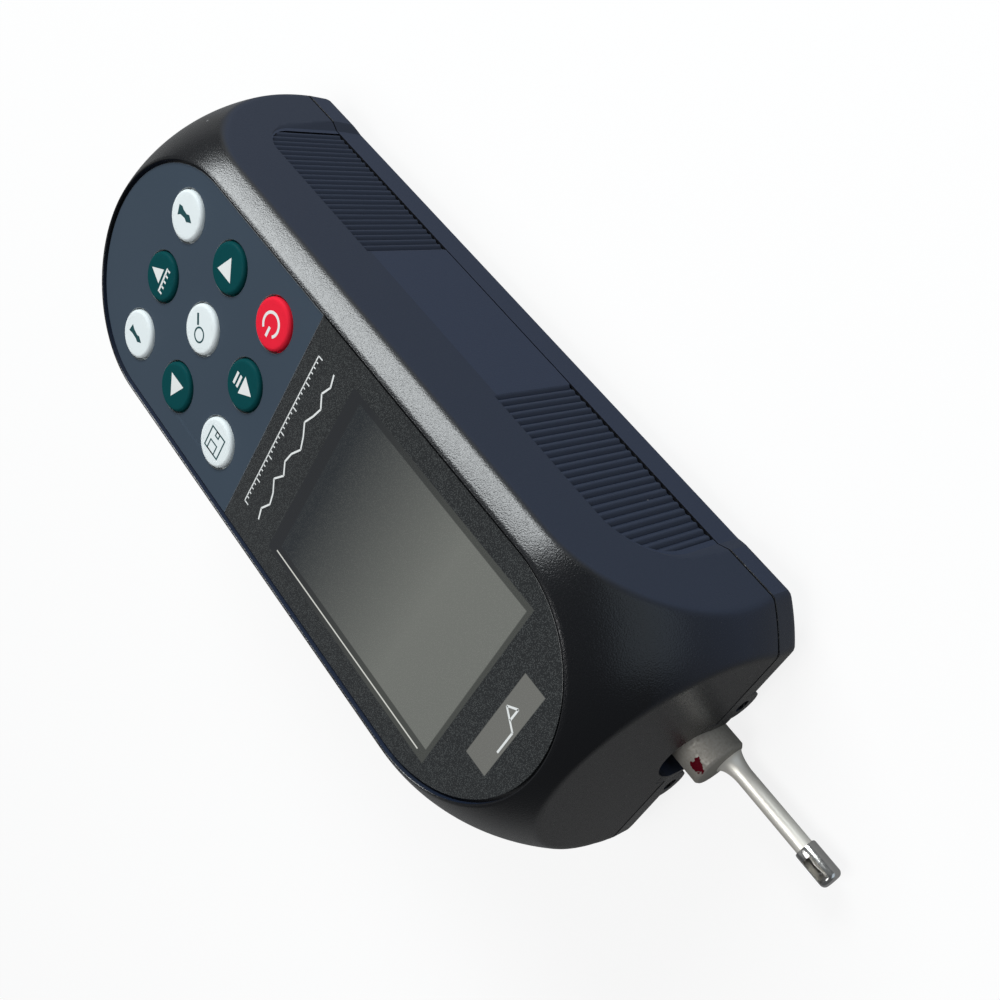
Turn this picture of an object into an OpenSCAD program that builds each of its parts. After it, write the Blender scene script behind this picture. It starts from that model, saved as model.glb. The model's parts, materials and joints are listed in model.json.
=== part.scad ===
// Handheld surface roughness tester: a moulded housing in two parts with a keypad and a display,
// a lead screw traverse inside, and a skidded stylus pickup that runs out of one end.
// The origin is the centre of the base, +Z points out of the display and +Y towards the pickup.

/* [Housing] */
// Width of the housing at its seam
body_w = 57; // [57:0.5:64]
// Length of the housing at its seam
body_l = 139; // [139:0.5:150]
// Height of the seam above the base
seam_z = 11; // [10.5:0.25:12]
// Height of the panel's face above the base
face_z = 41; // [41:0.5:48]
// How far the rim stands above the panel's face
rim_rise = 0.5; // [0.3:0.1:0.8]
// Draft of the side and end faces, in degrees
draft = 7.3; // [5:0.1:8]
// Wall of the front shell
wall = 2.4; // [2:0.1:2.8]
// Thickness of the deck that carries the panel
deck_t = 2; // [1.6:0.1:2.4]
// Radius of the shoulder's arc
shoulder_r = 42; // [40:0.5:46]
// How far the shoulder stands out past the panel at the seam
shoulder_reach = 15; // [14.5:0.25:16]

/* [Back cover] */
// Height and inset of the bevel round the base
base_bevel = 6; // [4:0.5:7]
// Thickness of the floor
floor_t = 1.8; // [1.6:0.1:2.2]
// Height of the lip that stands inside the front shell
lip_h = 2; // [1:0.25:3]
// Thickness of the lip
lip_t = 1; // [0.8:0.1:1.2]
// Gap between the lip and the front shell
lip_gap = 0.15; // [0.1:0.05:0.25]
// Sideways place of the cover screws
cover_screw_x = 18.5; // [17.5:0.25:19]
// Lengthways place of the cover screws
cover_screw_y = 56; // [55:0.25:57]
// Diameter of the cover screws
cover_screw_d = 2.5; // [2:0.25:3]

/* [Grips] */
// Length of each grip recess
grip_l = 105; // [96:1:108]
// Lengthways place of the grips' middle
grip_y = -0.5; // [-3:0.5:3]
// Height of the top edge of each grip
grip_top_z = 27.5; // [25:0.5:29]
// Depth of the grip recess at the seam
grip_depth = 0.8; // [0.6:0.1:1.3]
// Radius of the grip's upper corner at the keypad end
grip_corner_r = 4.5; // [3:0.5:8]
// Radius of the grip's upper corner at the pickup end
grip_sweep_r = 10; // [6:0.5:12]
// Number of grooves in each group
groove_count = 24; // [16:1:25]
// Pitch of the grooves
groove_pitch = 1.4; // [1.2:0.05:1.5]
// Width of a groove at its mouth
groove_w = 0.7; // [0.4:0.05:0.8]
// Depth of a groove
groove_depth = 0.4; // [0.2:0.05:0.45]

/* [Panel] */
// Width of the keypad and window together
panel_w = 42; // [42:0.25:44]
// Length of the keypad and window together
panel_l = 125; // [125:0.5:128]
// Thickness of the keypad panel and the window
panel_t = 1.2; // [1:0.1:1.6]
// Gap round the panel
panel_gap = 0.35; // [0.2:0.05:0.5]
// Place of the joint between keypad and window
divide_y = -8.2; // [-9:0.1:-8]
// Gap between keypad and window
divide_gap = 0.15; // [0.1:0.05:0.3]

/* [Keys] */
// Diameter of a key
key_d = 8.8; // [8:0.1:9.4]
// Pitch of the keys along the panel
key_pitch_y = 14.2; // [13:0.1:14.6]
// Lengthways place of the middle key
key_y = -30.8; // [-31.5:0.1:-30]
// How far a key stands above the panel
key_rise = 0.6; // [0.45:0.05:1]
// Travel of a key
key_travel = 0.4; // [0.2:0.05:0.4]
// Gap round a key
key_gap = 0.2; // [0.1:0.05:0.3]

/* [Display] */
// Width of the view area
view_w = 34; // [32:0.25:35]
// Length of the view area
view_l = 45; // [43:0.25:46]
// Lengthways place of the view's middle
view_y = 26; // [25:0.25:26.5]
// Border of the display frame round the view
view_border = 2; // [1.5:0.1:2.5]
// Thickness of the display frame
display_t = 3.2; // [2.8:0.1:3.8]

/* [Electronics] */
// Thickness of the main board
board_t = 1.6; // [1.2:0.1:2]
// Width of the battery
battery_w = 36; // [30:1:38]
// Length of the battery
battery_l = 46; // [40:1:46]
// Thickness of the battery
battery_t = 10; // [6:0.5:10.5]
// Width of the charge socket
socket_w = 7.7; // [7:0.1:9]
// Length of the charge socket
socket_l = 9; // [8:0.25:10]
// Height of the charge socket
socket_h = 3.9; // [3:0.1:4.2]

/* [Pickup] */
// Height of the pickup's axis above the base
pickup_z = 6.8; // [6.8:0.1:7.4]
// Diameter of the collar
collar_d = 9.4; // [8.4:0.1:9.5]
// Length of the collar
collar_l = 23.1; // [21:0.1:25]
// How far the collar stands out of the housing
collar_out = 3.6; // [2:0.1:6]
// Diameter of the rod
rod_d = 2.9; // [2.7:0.05:3.1]
// How far the rod lies below the collar's axis
rod_drop = 3; // [2.6:0.05:3]
// Length of the rod from the collar to the head
rod_l = 17.5; // [12:0.1:24]
// Diameter of the skid head
head_d = 3.7; // [3.5:0.05:4]
// Length of the skid head
head_l = 5.2; // [5:0.1:7]
// How far the stylus stands out below the head
stylus_out = 0.5; // [0.3:0.05:0.8]
// Diameter of the stylus lever
lever_d = 0.8; // [0.6:0.05:0.9]
// Radius of the opening in the housing's end
opening_r = 5.6; // [5.4:0.1:6]
// Distance between the tapped lugs beside the pickup
lug_pitch = 19.8; // [19.4:0.1:22]
// Diameter of the tapped holes in the lugs
lug_hole_d = 2.5; // [2:0.1:3]
// Depth of the tapped holes in the lugs
lug_hole_l = 8; // [6:0.25:9]

/* [Drive] */
// Travel of the carriage
travel = 17.5; // [10:0.5:17.5]
// Length of the carriage
carriage_l = 14; // [12:0.5:14]
// Half the distance between the guide rods
guide_x = 11; // [10.5:0.1:11]
// Diameter of the guide rods
guide_d = 4; // [3.5:0.1:4]
// Diameter of the lead screw
screw_d = 4; // [3.5:0.1:4.2]
// Diameter of the gear motor
motor_d = 12; // [10:0.5:12]
// Length of the gear motor
motor_l = 22; // [18:0.5:24]
// Thickness of the frame's upright plates
plate_t = 3; // [2.5:0.1:3.5]
// Radial gap of a running fit
run_gap = 0.05; // [0.02:0.01:0.08]
// Radial gap of a fixed fit
fix_gap = 0.02; // [0.01:0.01:0.03]

/* [Hidden] */
$fn = 96;

// Small overrun of a cut past the face it opens
over = 1;
// Reach of cutting blocks past the housing
far = 2 * body_l;

// Room round a loose piece, past the end of a fixed one, and under a seated one
loose_gap = 0.3;
end_gap = 0.2;
seat_gap = 0.1;

// Heights of the panel stack
rim_z = face_z + rim_rise;
ledge_z = face_z - panel_t;
ceil_z = ledge_z - deck_t;
board_top = ceil_z - seat_gap - display_t;
board_z = board_top - board_t;

// Shoulder arc: one circle swept round the panel's outline
panel_r = panel_w / 2;
end_y = panel_l / 2 - panel_r;
shoulder_c = panel_r + shoulder_reach - shoulder_r;
shoulder_z = seam_z - 1;
half_w = body_w / 2;
half_l = body_l / 2;

// Back cover
cover_wall = wall + lip_gap + lip_t;
boss_r = cover_screw_d / 2 + 1.95;
screw_hole_r = cover_screw_d / 2 + end_gap;
head_ratio = 0.95;
head_r = cover_screw_d * head_ratio;
head_h = 1.6;
head_sink = 3.2;
cover_screw_l = 20;
boss_top_z = face_z - 5.5;
trough_floor = 0.8;
trough_w = 10.4;
tab_h = 2;
tab_w = 1.4;
lug_r = 3;
lug_l = 10;

// Grips
grip_top_x = half_w - (grip_top_z - seam_z) * tan(draft);
grip_floor_x = half_w - grip_depth;
grip_draft = atan((grip_floor_x - grip_top_x) / (grip_top_z - seam_z));
grip_head = 0.6;
groove_start = 0.9;
groove_flank = 0.12;
groove_mouth = 0.2;

// Keys
key_names = ["key_return", "key_down", "key_enter", "key_left", "key_start", "key_right",
             "key_power", "key_page", "key_save"];
key_pitch_x = 0.3 * panel_w;
flange_r = key_d / 2 + 0.8;
flange_t = 0.8;
flange_z = ledge_z - seat_gap - flange_t;
key_edge = 0.4;
pad_r = 3.2;
pad_top_z = flange_z - key_travel - seat_gap;
mat_t = 1.2;
mat_edge = 2.2;
white_key = [0.9, 0.93, 0.94];
teal_key = [0, 0.29, 0.31];
red_key = [0.92, 0.15, 0.23];
key_colours = [white_key, teal_key, white_key, teal_key, white_key, teal_key, red_key, teal_key, white_key];
glass_t = 2.2;
glass_sink = 0.2;

// Board
board_r = panel_r - 1;
board_screw_x = 0.55 * board_r;
board_screw_y = end_y + 0.65 * board_r;
board_boss_r = 2.3;
board_screw_d = 2;
board_head_h = 1.3;
board_screw_l = 4.2;
battery_y = -26;
socket_face = 0.9;
socket_wall = 0.5;
socket_back = 2;

// Pickup, from its front to its back
rod_z = pickup_z - rod_drop;
collar_r = collar_d / 2;
collar_front = half_l + collar_out;
collar_back = collar_front - collar_l;
collar_edge = 0.35;
rod_r = rod_d / 2;
rod_front = collar_front + rod_l;
rod_bore_r = rod_r - 0.55;
rod_spigot = 5;
flare_r = 3.2;
head_rod_lap = 1;
head_back = rod_front - head_rod_lap;
head_front = rod_front + head_l;
skid_r = head_d / 2;
skid_edge = 0.7;
head_chamfer = 0.25;
slot_w = 1.9;
slot_setback = 0.5;
slot_back = rod_front + slot_setback;
slot_front = head_front - 0.8;
slot_z = rod_z - 0.9;
stylus_y = slot_front - 0.9;
stylus_r = 0.32;
stylus_hole_r = 0.65;
tip_l = 0.7;
tip_r = 0.04;
tip_z = rod_z - skid_r - stylus_out;
lever_r = lever_d / 2;
pivot_setback = 13;
pivot_y = collar_front - pivot_setback;
pivot_r = 0.25;
pivot_l = 5;
hub_r = 0.65;
hub_w = 1.4;
lever_bore_r = 0.95;
cell_l = 9.4;
cell_w = 3.4;
cell_front = pivot_y + 1.5;
cell_z = rod_z - 0.9;
cell_top_z = pickup_z + 2;
armature_y = pivot_y - 5.2;
armature_l = 2.2;
armature_t = 0.5;
armature_w = 1.6;
coil_r = 1.5;
coil_z = rod_z + armature_t / 2 + 0.5;
spigot_r = 3;
spigot_l = 6.8;
pin_r = 0.4;
pin_l = 1.6;
pin_ring_r = 1.8;

// Pickup socket and its float joint
holder_l = 9;
holder_back = collar_back - holder_l;
tongue_w = 6;
tongue_h = 5.2;
float_y = holder_back - 9.5;
float_r = 1;
float_l = 15;
tongue_tail = 3;
slot_head = 1.2;

// Carriage and guides
holder_clear = 1;
carriage_front = holder_back - holder_clear;
carriage_back = carriage_front - carriage_l;
carriage_w = 28;
carriage_drop = 3.2;
carriage_z = pickup_z - carriage_drop;
screw_rise = 9.4;
screw_z = pickup_z + screw_rise;
guide_rise = 2.2;
guide_z = pickup_z + guide_rise;
carriage_crown = 4.4;
carriage_top = screw_z + carriage_crown;
guide_r = guide_d / 2;
bush_r = guide_r + 1;
bush_flange_r = bush_r + 0.8;
bush_flange_t = 0.8;
screw_r = screw_d / 2;
nut_r = screw_r + 1.2;
nut_flange_r = nut_r + 1.4;
nut_flange_t = 1;

// Frame plates and the shaft line
plate_clear = 4;
front_plate = carriage_front + plate_clear;
run_room = 7.5;
rear_plate = carriage_back - travel - run_room - plate_t;
rail_clear = 1.2;
rail_x = carriage_w / 2 + rail_clear;
rail_w = 3;
frame_z = carriage_z - end_gap;
rail_drop = 0.6;
rail_top = guide_z - rail_drop;
frame_crown = 5;
frame_top = screw_z + frame_crown;
foot_drop = 1.4;
foot_z = pickup_z - foot_drop;
foot_t = 2;
foot_w = 7;
foot_reach = 2.2;
foot_x = rail_x + rail_w + foot_reach;
foot_inset = 5;
foot_boss_r = 2.2;
drive_screw_d = 2;
drive_screw_l = 4.6;
drive_head_h = 1.3;
pickup_way = 6.2;
journal_r = screw_r - 0.5;
bearing_r = journal_r + 2;
bearing_l = plate_t - 2 * end_gap;
coupling_r = 3;
coupling_gap = 0.6;
coupling_l = 6;
coupling_back = rear_plate - coupling_gap - coupling_l;
motor_plate = coupling_back - coupling_gap - plate_t;
shaft_r = 1;
motor_boss_r = 3.4;
motor_tail_edge = 0.8;
shaft_tail = 3.8;
shaft_lap = 2.8;
thread_gap = 0.4;
foot_ys = [front_plate + plate_t - foot_inset, motor_plate + foot_inset];

// Half outlines, drawn in the right half plane

module shoulder_profile(inset, z0, z1)
  intersection() {
    translate([shoulder_c, shoulder_z])
      circle(r = shoulder_r - inset, $fn = 360);
    translate([0, z0])
      square([shoulder_r, z1 - z0]);
  }

module draft_profile(half, inset, z0, z1) {
  seam_half = half - inset / cos(draft);
  polygon([[0, z0], [seam_half - (z0 - seam_z) * tan(draft), z0],
           [seam_half - (z1 - seam_z) * tan(draft), z1], [0, z1]]);
}

module bevel_profile(half, inset, z0, z1)
  intersection() {
    polygon([[0, 0], [half - base_bevel - inset * sqrt(2), 0],
             [half - inset, base_bevel + inset * (sqrt(2) - 1)], [half - inset, far], [0, far]]);
    translate([0, z0])
      square([far, z1 - z0]);
  }

// Sweeps and extrusions of a half outline

module both_sides() {
  children();
  mirror([1, 0, 0])
    children();
}

module along_y(length)
  rotate([90, 0, 0])
    linear_extrude(height = length, center = true)
      both_sides()
        children();

module along_x(length)
  rotate([90, 0, 90])
    linear_extrude(height = length, center = true)
      both_sides()
        children();

module swept_round() {
  for (turn = [0, 180])
    rotate([0, 0, turn])
      translate([0, end_y, 0])
        rotate_extrude(angle = 180)
          children();
  along_y(2 * end_y)
    children();
}

// A round piece along +Y that starts at the given place
module bar(y, z, r, length, x = 0)
  translate([x, y, z])
    rotate([-90, 0, 0])
      cylinder(r = r, h = length);

// A block centred on X that runs between two places in Y and Z
module block(width, y0, y1, z0, z1)
  translate([-width / 2, y0, z0])
    cube([width, y1 - y0, z1 - z0]);

module panel_outline(inset) {
  for (s = [-1, 1])
    translate([0, s * end_y])
      circle(r = panel_r - inset);
  square([2 * (panel_r - inset), 2 * end_y], center = true);
}

// Housing forms

module shell_form(inset, z0, z1)
  intersection() {
    swept_round()
      shoulder_profile(inset, z0, z1);
    along_y(far)
      draft_profile(half_w, inset, z0, z1);
    along_x(far)
      draft_profile(half_l, inset, z0, z1);
  }

module cover_form(inset, z0, z1)
  intersection() {
    swept_round()
      bevel_profile(panel_r + shoulder_reach, inset, z0, z1);
    along_y(far)
      bevel_profile(half_w, inset, z0, z1);
    along_x(far)
      bevel_profile(half_l, inset, z0, z1);
  }

// The grip's outline seen from the side, run through one wall
module grip_window() {
  top = grip_top_z + grip_head;
  rotate([90, 0, 90])
    linear_extrude(height = half_w + over)
      translate([grip_y - grip_l / 2, 0]) {
        translate([0, -over])
          square([grip_l, top - grip_sweep_r + over]);
        translate([0, -over])
          square([grip_l / 2, top - grip_corner_r + over]);
        translate([grip_corner_r, -over])
          square([grip_l - grip_corner_r - grip_sweep_r, top + over]);
        translate([grip_corner_r, top - grip_corner_r])
          circle(r = grip_corner_r);
        translate([grip_l - grip_sweep_r, top - grip_sweep_r])
          circle(r = grip_sweep_r);
      }
}

module grip_recess() {
  lift = 2 * grip_sweep_r;
  rotate([90, 0, 0])
    linear_extrude(height = far, center = true)
      polygon([[grip_floor_x, -over], [far, -over], [far, grip_top_z + lift],
               [grip_top_x - lift * tan(grip_draft), grip_top_z + lift], [grip_floor_x, seam_z]]);
}

// One group of grooves, as a comb whose teeth cut into the recess floor
module groove_comb() {
  half_mouth = groove_w / 2 + groove_flank * groove_mouth / groove_depth;
  half_root = groove_w / 2 - groove_flank;
  teeth = [for (i = [0 : groove_count - 1], p = [[groove_mouth, -half_mouth], [-groove_depth, -half_root],
                                                 [-groove_depth, half_root], [groove_mouth, half_mouth]])
           [p[0], p[1] + (i + 0.5) * groove_pitch]];
  back = [[2 * groove_mouth, groove_count * groove_pitch], [2 * groove_mouth, 0]];
  translate([grip_floor_x, 0, seam_z])
    rotate([0, -grip_draft, 0])
      translate([0, 0, -over])
        linear_extrude(height = grip_top_z)
          polygon(concat(teeth, back));
}

module grip_grooves() {
  group_l = groove_count * groove_pitch;
  for (y = [groove_start, grip_l - groove_start - group_l])
    translate([0, grip_y - grip_l / 2 + y, 0])
      groove_comb();
}

module on_both_walls()
  for (side = [0, 1])
    mirror([side, 0, 0])
      children();

module at_cover_screws()
  for (x = [-1, 1], y = [-1, 1])
    translate([x * cover_screw_x, y * cover_screw_y, 0])
      children();

module at_board_screws()
  for (x = [-1, 1], y = [-1, 1])
    translate([x * board_screw_x, y * board_screw_y, 0])
      children();

module at_feet()
  for (x = [-1, 1], y = foot_ys)
    translate([x * foot_x, y, 0])
      children();

// The tabs of the back cover that fill the front shell's notch beside the pickup
module tab_block(gap)
  block(2 * (opening_r + tab_w + gap), half_l - cover_wall - over, half_l + over, seam_z - over,
        seam_z + tab_h + gap);

module pickup_arch()
  bar(half_l - cover_wall - 2 * over, seam_z, opening_r, cover_wall + 3 * over);

module charge_opening(gap) {
  wall_y = half_l - (board_z - seam_z) * tan(draft);
  block(socket_w + 2 * gap, -wall_y - 2 * over, -wall_y + wall + 2 * over, board_z - socket_h - gap,
        board_z + gap);
}

module front_shell()
  color([0.16, 0.17, 0.2])
    difference() {
      union() {
        difference() {
          shell_form(0, seam_z, rim_z);
          shell_form(wall, seam_z - over, ceil_z);
        }
        at_cover_screws()
          translate([0, 0, seam_z + end_gap])
            cylinder(r = boss_r, h = boss_top_z - seam_z - end_gap);
        at_board_screws()
          translate([0, 0, board_top])
            cylinder(r = board_boss_r, h = ceil_z + over - board_top);
      }
      translate([0, 0, ledge_z])
        linear_extrude(height = panel_t + rim_rise + over)
          panel_outline(-panel_gap);
      translate([0, view_y - view_l / 2, 0])
        block(view_w, 0, view_l, ceil_z - over, ledge_z + over);
      for (i = [0 : 8])
        at_key(i)
          translate([0, 0, ceil_z - over])
            cylinder(r = flange_r + loose_gap, h = deck_t + 2 * over);
      on_both_walls()
        intersection() {
          grip_window();
          union() {
            grip_recess();
            grip_grooves();
          }
        }
      pickup_arch();
      tab_block(seat_gap);
      charge_opening(loose_gap);
      at_cover_screws()
        cylinder(r = cover_screw_d / 2 + fix_gap, h = head_sink + cover_screw_l + over);
      at_board_screws()
        translate([0, 0, board_z])
          cylinder(r = board_screw_d / 2 + fix_gap, h = board_screw_l + over / 2);
    }

module back_cover()
  color([0.15, 0.16, 0.19])
    difference() {
      union() {
        difference() {
          cover_form(0, 0, seam_z);
          cover_form(cover_wall, floor_t, seam_z + over);
        }
        difference() {
          shell_form(wall + lip_gap, seam_z - over / 2, seam_z + lip_h);
          shell_form(cover_wall, seam_z - over, seam_z + lip_h + over);
        }
        intersection() {
          difference() {
            shell_form(0, seam_z - over / 2, seam_z + tab_h);
            shell_form(wall, seam_z - over, seam_z + tab_h + over);
          }
          tab_block(0);
        }
        at_cover_screws()
          translate([0, 0, floor_t / 2])
            cylinder(r = boss_r, h = seam_z - floor_t / 2);
        at_feet()
          translate([0, 0, floor_t / 2])
            cylinder(r = foot_boss_r, h = foot_z - floor_t / 2);
        for (s = [-1, 1])
          bar(half_l - lug_l, pickup_z, lug_r, lug_l, s * lug_pitch / 2);
      }
      pickup_arch();
      block(2 * opening_r, half_l - lug_l, half_l + over, trough_floor, seam_z);
      block(trough_w, carriage_front - travel, half_l, trough_floor, floor_t + over);
      for (s = [-1, 1])
        bar(half_l - lug_hole_l, pickup_z, lug_hole_d / 2, lug_hole_l + over, s * lug_pitch / 2);
      at_cover_screws() {
        translate([0, 0, -over])
          cylinder(r = head_r + loose_gap, h = head_sink + over);
        cylinder(r = screw_hole_r, h = seam_z + over);
      }
      at_feet()
        translate([0, 0, foot_z + foot_t - drive_screw_l - loose_gap])
          cylinder(r = drive_screw_d / 2 + fix_gap, h = drive_screw_l);
      on_both_walls()
        intersection() {
          grip_window();
          grip_recess();
        }
    }

// Panel, keys and display

module at_key(i)
  translate([(i % 3 - 1) * key_pitch_x, key_y + (floor(i / 3) - 1) * key_pitch_y, 0])
    children();

module panel_part(y0, y1)
  translate([0, 0, ledge_z])
    linear_extrude(height = panel_t)
      intersection() {
        panel_outline(0);
        translate([-panel_r, y0])
          square([panel_w, y1 - y0]);
      }

module keypad_panel()
  color([0.27, 0.31, 0.36])
    difference() {
      panel_part(-panel_l, divide_y - divide_gap / 2);
      for (i = [0 : 8])
        at_key(i)
          translate([0, 0, ledge_z - over])
            cylinder(r = key_d / 2 + key_gap, h = panel_t + 2 * over);
    }

module display_window()
  color([0.09, 0.09, 0.1])
    panel_part(divide_y + divide_gap / 2, panel_l);

module display_frame()
  color("white")
    translate([0, view_y, board_top])
      difference() {
        translate([0, 0, display_t / 2])
          cube([view_w + 2 * view_border, view_l + 2 * view_border, display_t], center = true);
        translate([0, 0, display_t])
          cube([view_w + view_border, view_l + view_border, 2 * (glass_t + glass_sink)], center = true);
      }

module display_glass()
  color([0.4, 0.41, 0.39])
    translate([0, view_y, board_top + display_t - glass_sink - glass_t / 2])
      cube([view_w + view_border - 2 * seat_gap, view_l + view_border - 2 * seat_gap, glass_t],
           center = true);

module key(i)
  color(key_colours[i])
    at_key(i) {
      translate([0, 0, flange_z])
        cylinder(r = flange_r, h = flange_t);
      translate([0, 0, flange_z])
        rotate_extrude()
          key_profile(face_z + key_rise - flange_z);
    }

module key_profile(h) {
  r = key_d / 2;
  square([r - key_edge, h]);
  square([r, h - key_edge]);
  translate([r - key_edge, h - key_edge])
    circle(r = key_edge);
}

module key_mat()
  color([0.7, 0.72, 0.74]) {
    reach = pad_r + mat_edge;
    translate([0, key_y, board_top + mat_t / 2])
      cube([2 * (key_pitch_x + reach), 2 * (key_pitch_y + reach), mat_t], center = true);
    for (i = [0 : 8])
      at_key(i)
        translate([0, 0, board_top])
          cylinder(r = pad_r, h = pad_top_z - board_top);
  }

// Electronics

module main_board()
  color([0.05, 0.35, 0.2])
    difference() {
      translate([0, 0, board_z])
        linear_extrude(height = board_t)
          panel_outline(panel_r - board_r);
      at_board_screws()
        cylinder(r = board_screw_d / 2 + seat_gap, h = face_z);
    }

module battery_pack()
  color([0.2, 0.35, 0.6])
    translate([0, battery_y, 0])
      block(battery_w, -battery_l / 2, battery_l / 2, board_z - battery_t, board_z);

module charge_socket()
  color("silver") {
    front_y = -(half_l - (board_z - seam_z) * tan(draft) - socket_face);
    difference() {
      block(socket_w, front_y, front_y + socket_l, board_z - socket_h, board_z);
      block(socket_w - 2 * socket_wall, front_y - over, front_y + socket_l - socket_back,
            board_z - socket_h + socket_wall, board_z - socket_wall);
    }
  }

// Traverse drive

module drive_frame()
  color([0.7, 0.71, 0.73])
    difference() {
      union() {
        for (s = [-1, 1])
          translate([s * (rail_x + rail_w / 2), 0, 0])
            block(rail_w, motor_plate, front_plate + plate_t, frame_z, rail_top);
        for (y = [front_plate, rear_plate, motor_plate])
          block(2 * (rail_x + rail_w), y, y + plate_t, frame_z, frame_top);
        at_feet()
          block(2 * foot_reach, -foot_w / 2, foot_w / 2, foot_z, foot_z + foot_t);
      }
      for (s = [-1, 1])
        bar(rear_plate - over, guide_z, guide_r + fix_gap, front_plate + plate_t - rear_plate + 2 * over,
            s * guide_x);
      bar(rear_plate - over, screw_z, bearing_r + fix_gap, front_plate + plate_t - rear_plate + 2 * over);
      bar(motor_plate - over, screw_z, motor_boss_r + fix_gap, plate_t + 2 * over);
      block(2 * pickup_way, front_plate - over, front_plate + plate_t + over, frame_z - over,
            pickup_z + pickup_way);
      at_feet()
        cylinder(r = drive_screw_d / 2 + seat_gap, h = foot_z + foot_t + over);
    }

module guide_rods()
  color("silver")
    for (s = [-1, 1])
      bar(rear_plate, guide_z, guide_r, front_plate + plate_t - rear_plate, s * guide_x);

module screw_bearings()
  color([0.75, 0.75, 0.78])
    for (y = [front_plate, rear_plate])
      difference() {
        bar(y + end_gap, screw_z, bearing_r, bearing_l);
        bar(y - over, screw_z, journal_r + run_gap, plate_t + 2 * over);
      }

module gear_motor()
  color([0.6, 0.6, 0.62])
    difference() {
      union() {
        bar(motor_plate - motor_l + motor_tail_edge, screw_z, motor_d / 2, motor_l - motor_tail_edge);
        bar(motor_plate - motor_l, screw_z, motor_d / 2 - motor_tail_edge, motor_l);
        bar(motor_plate - over, screw_z, motor_boss_r, plate_t + over - end_gap);
      }
      bar(motor_plate - shaft_tail - end_gap, screw_z, shaft_r + run_gap, shaft_tail + plate_t + over);
    }

module motor_shaft()
  color("silver")
    bar(motor_plate - shaft_tail, screw_z, shaft_r, coupling_back + shaft_lap - motor_plate + shaft_tail);

module shaft_coupling()
  color([0.55, 0.56, 0.6])
    difference() {
      bar(coupling_back, screw_z, coupling_r, coupling_l);
      bar(coupling_back - over, screw_z, shaft_r + fix_gap, shaft_lap + seat_gap + over);
      bar(coupling_back + coupling_l / 2, screw_z, journal_r + fix_gap, coupling_l);
    }

module lead_screw()
  color("silver") {
    back = coupling_back + coupling_l / 2 + seat_gap;
    bar(back, screw_z, journal_r, front_plate + plate_t - loose_gap - back);
    bar(rear_plate + plate_t + thread_gap, screw_z, screw_r,
        front_plate - rear_plate - plate_t - 2 * thread_gap);
  }

module carriage()
  color([0.35, 0.37, 0.42])
    difference() {
      block(carriage_w, carriage_back, carriage_front, carriage_z, carriage_top);
      for (s = [-1, 1])
        bar(carriage_back - over, guide_z, bush_r + fix_gap, carriage_l + 2 * over, s * guide_x);
      bar(carriage_back - over, screw_z, nut_r + fix_gap, carriage_l + 2 * over);
      block(tongue_w + 2 * end_gap, float_y - tongue_tail - end_gap, carriage_front + over,
            carriage_z - over, pickup_z + tongue_h / 2 + slot_head);
      float_bar(float_r + fix_gap, float_l + 2 * seat_gap);
    }

module guide_bushes()
  color([0.72, 0.55, 0.3])
    for (s = [-1, 1])
      difference() {
        union() {
          bar(carriage_back, guide_z, bush_r, carriage_l, s * guide_x);
          bar(carriage_back - bush_flange_t, guide_z, bush_flange_r, bush_flange_t, s * guide_x);
        }
        bar(carriage_back - bush_flange_t - over, guide_z, guide_r + run_gap,
            carriage_l + bush_flange_t + 2 * over, s * guide_x);
      }

module drive_nut()
  color([0.78, 0.62, 0.3])
    difference() {
      union() {
        bar(carriage_back, screw_z, nut_r, carriage_l);
        bar(carriage_back - nut_flange_t, screw_z, nut_flange_r, nut_flange_t);
      }
      bar(carriage_back - nut_flange_t - over, screw_z, screw_r + run_gap,
          carriage_l + nut_flange_t + 2 * over);
    }

// A round piece along X at the float joint
module float_bar(r, length)
  translate([0, float_y, pickup_z])
    rotate([0, 90, 0])
      cylinder(r = r, h = length, center = true);

module float_pin()
  color("silver")
    float_bar(float_r, float_l);

// Pickup

module pickup_socket()
  color([0.3, 0.3, 0.32])
    difference() {
      union() {
        block(tongue_w, float_y - tongue_tail, holder_back + over, pickup_z - tongue_h / 2,
              pickup_z + tongue_h / 2);
        bar(holder_back, pickup_z, collar_r, holder_l - end_gap);
      }
      float_bar(float_r + run_gap, tongue_w + 2 * over);
      bar(collar_back - spigot_l - end_gap, pickup_z, spigot_r + fix_gap, spigot_l + over);
      at_pins()
        bar(collar_back - spigot_l - pin_l - end_gap, pickup_z, pin_r + fix_gap, pin_l + over);
    }

module at_pins()
  for (x = [-1, 1], z = [-1, 1])
    translate([x * pin_ring_r / sqrt(2), 0, z * pin_ring_r / sqrt(2)])
      children();

module contact_pins()
  color("gold")
    at_pins()
      bar(collar_back - spigot_l - pin_l, pickup_z, pin_r, pin_l);

module pickup_collar()
  color([0.62, 0.61, 0.57])
    difference() {
      union() {
        bar(collar_back, pickup_z, collar_r, collar_l - collar_edge);
        translate([0, collar_front - collar_edge, pickup_z])
          rotate([-90, 0, 0])
            cylinder(r1 = collar_r, r2 = collar_r - collar_edge, h = collar_edge);
        bar(collar_back - spigot_l, pickup_z, spigot_r, spigot_l + over);
      }
      bar(collar_front - rod_spigot, rod_z, rod_r + fix_gap, rod_spigot + over);
      bar(cell_front - over, rod_z, lever_bore_r, collar_front - cell_front);
      block(cell_w, cell_front - cell_l, cell_front, cell_z, cell_top_z);
      pivot_bar(pivot_r + fix_gap, pivot_l + seat_gap);
    }

// A round piece along X at the lever's pivot
module pivot_bar(r, length)
  translate([0, pivot_y, rod_z])
    rotate([0, 90, 0])
      cylinder(r = r, h = length, center = true);

module lever_pivot()
  color("silver")
    pivot_bar(pivot_r, pivot_l);

module sensing_coil()
  color([0.72, 0.4, 0.2])
    translate([0, armature_y, coil_z])
      cylinder(r = coil_r, h = cell_top_z - coil_z);

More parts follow.
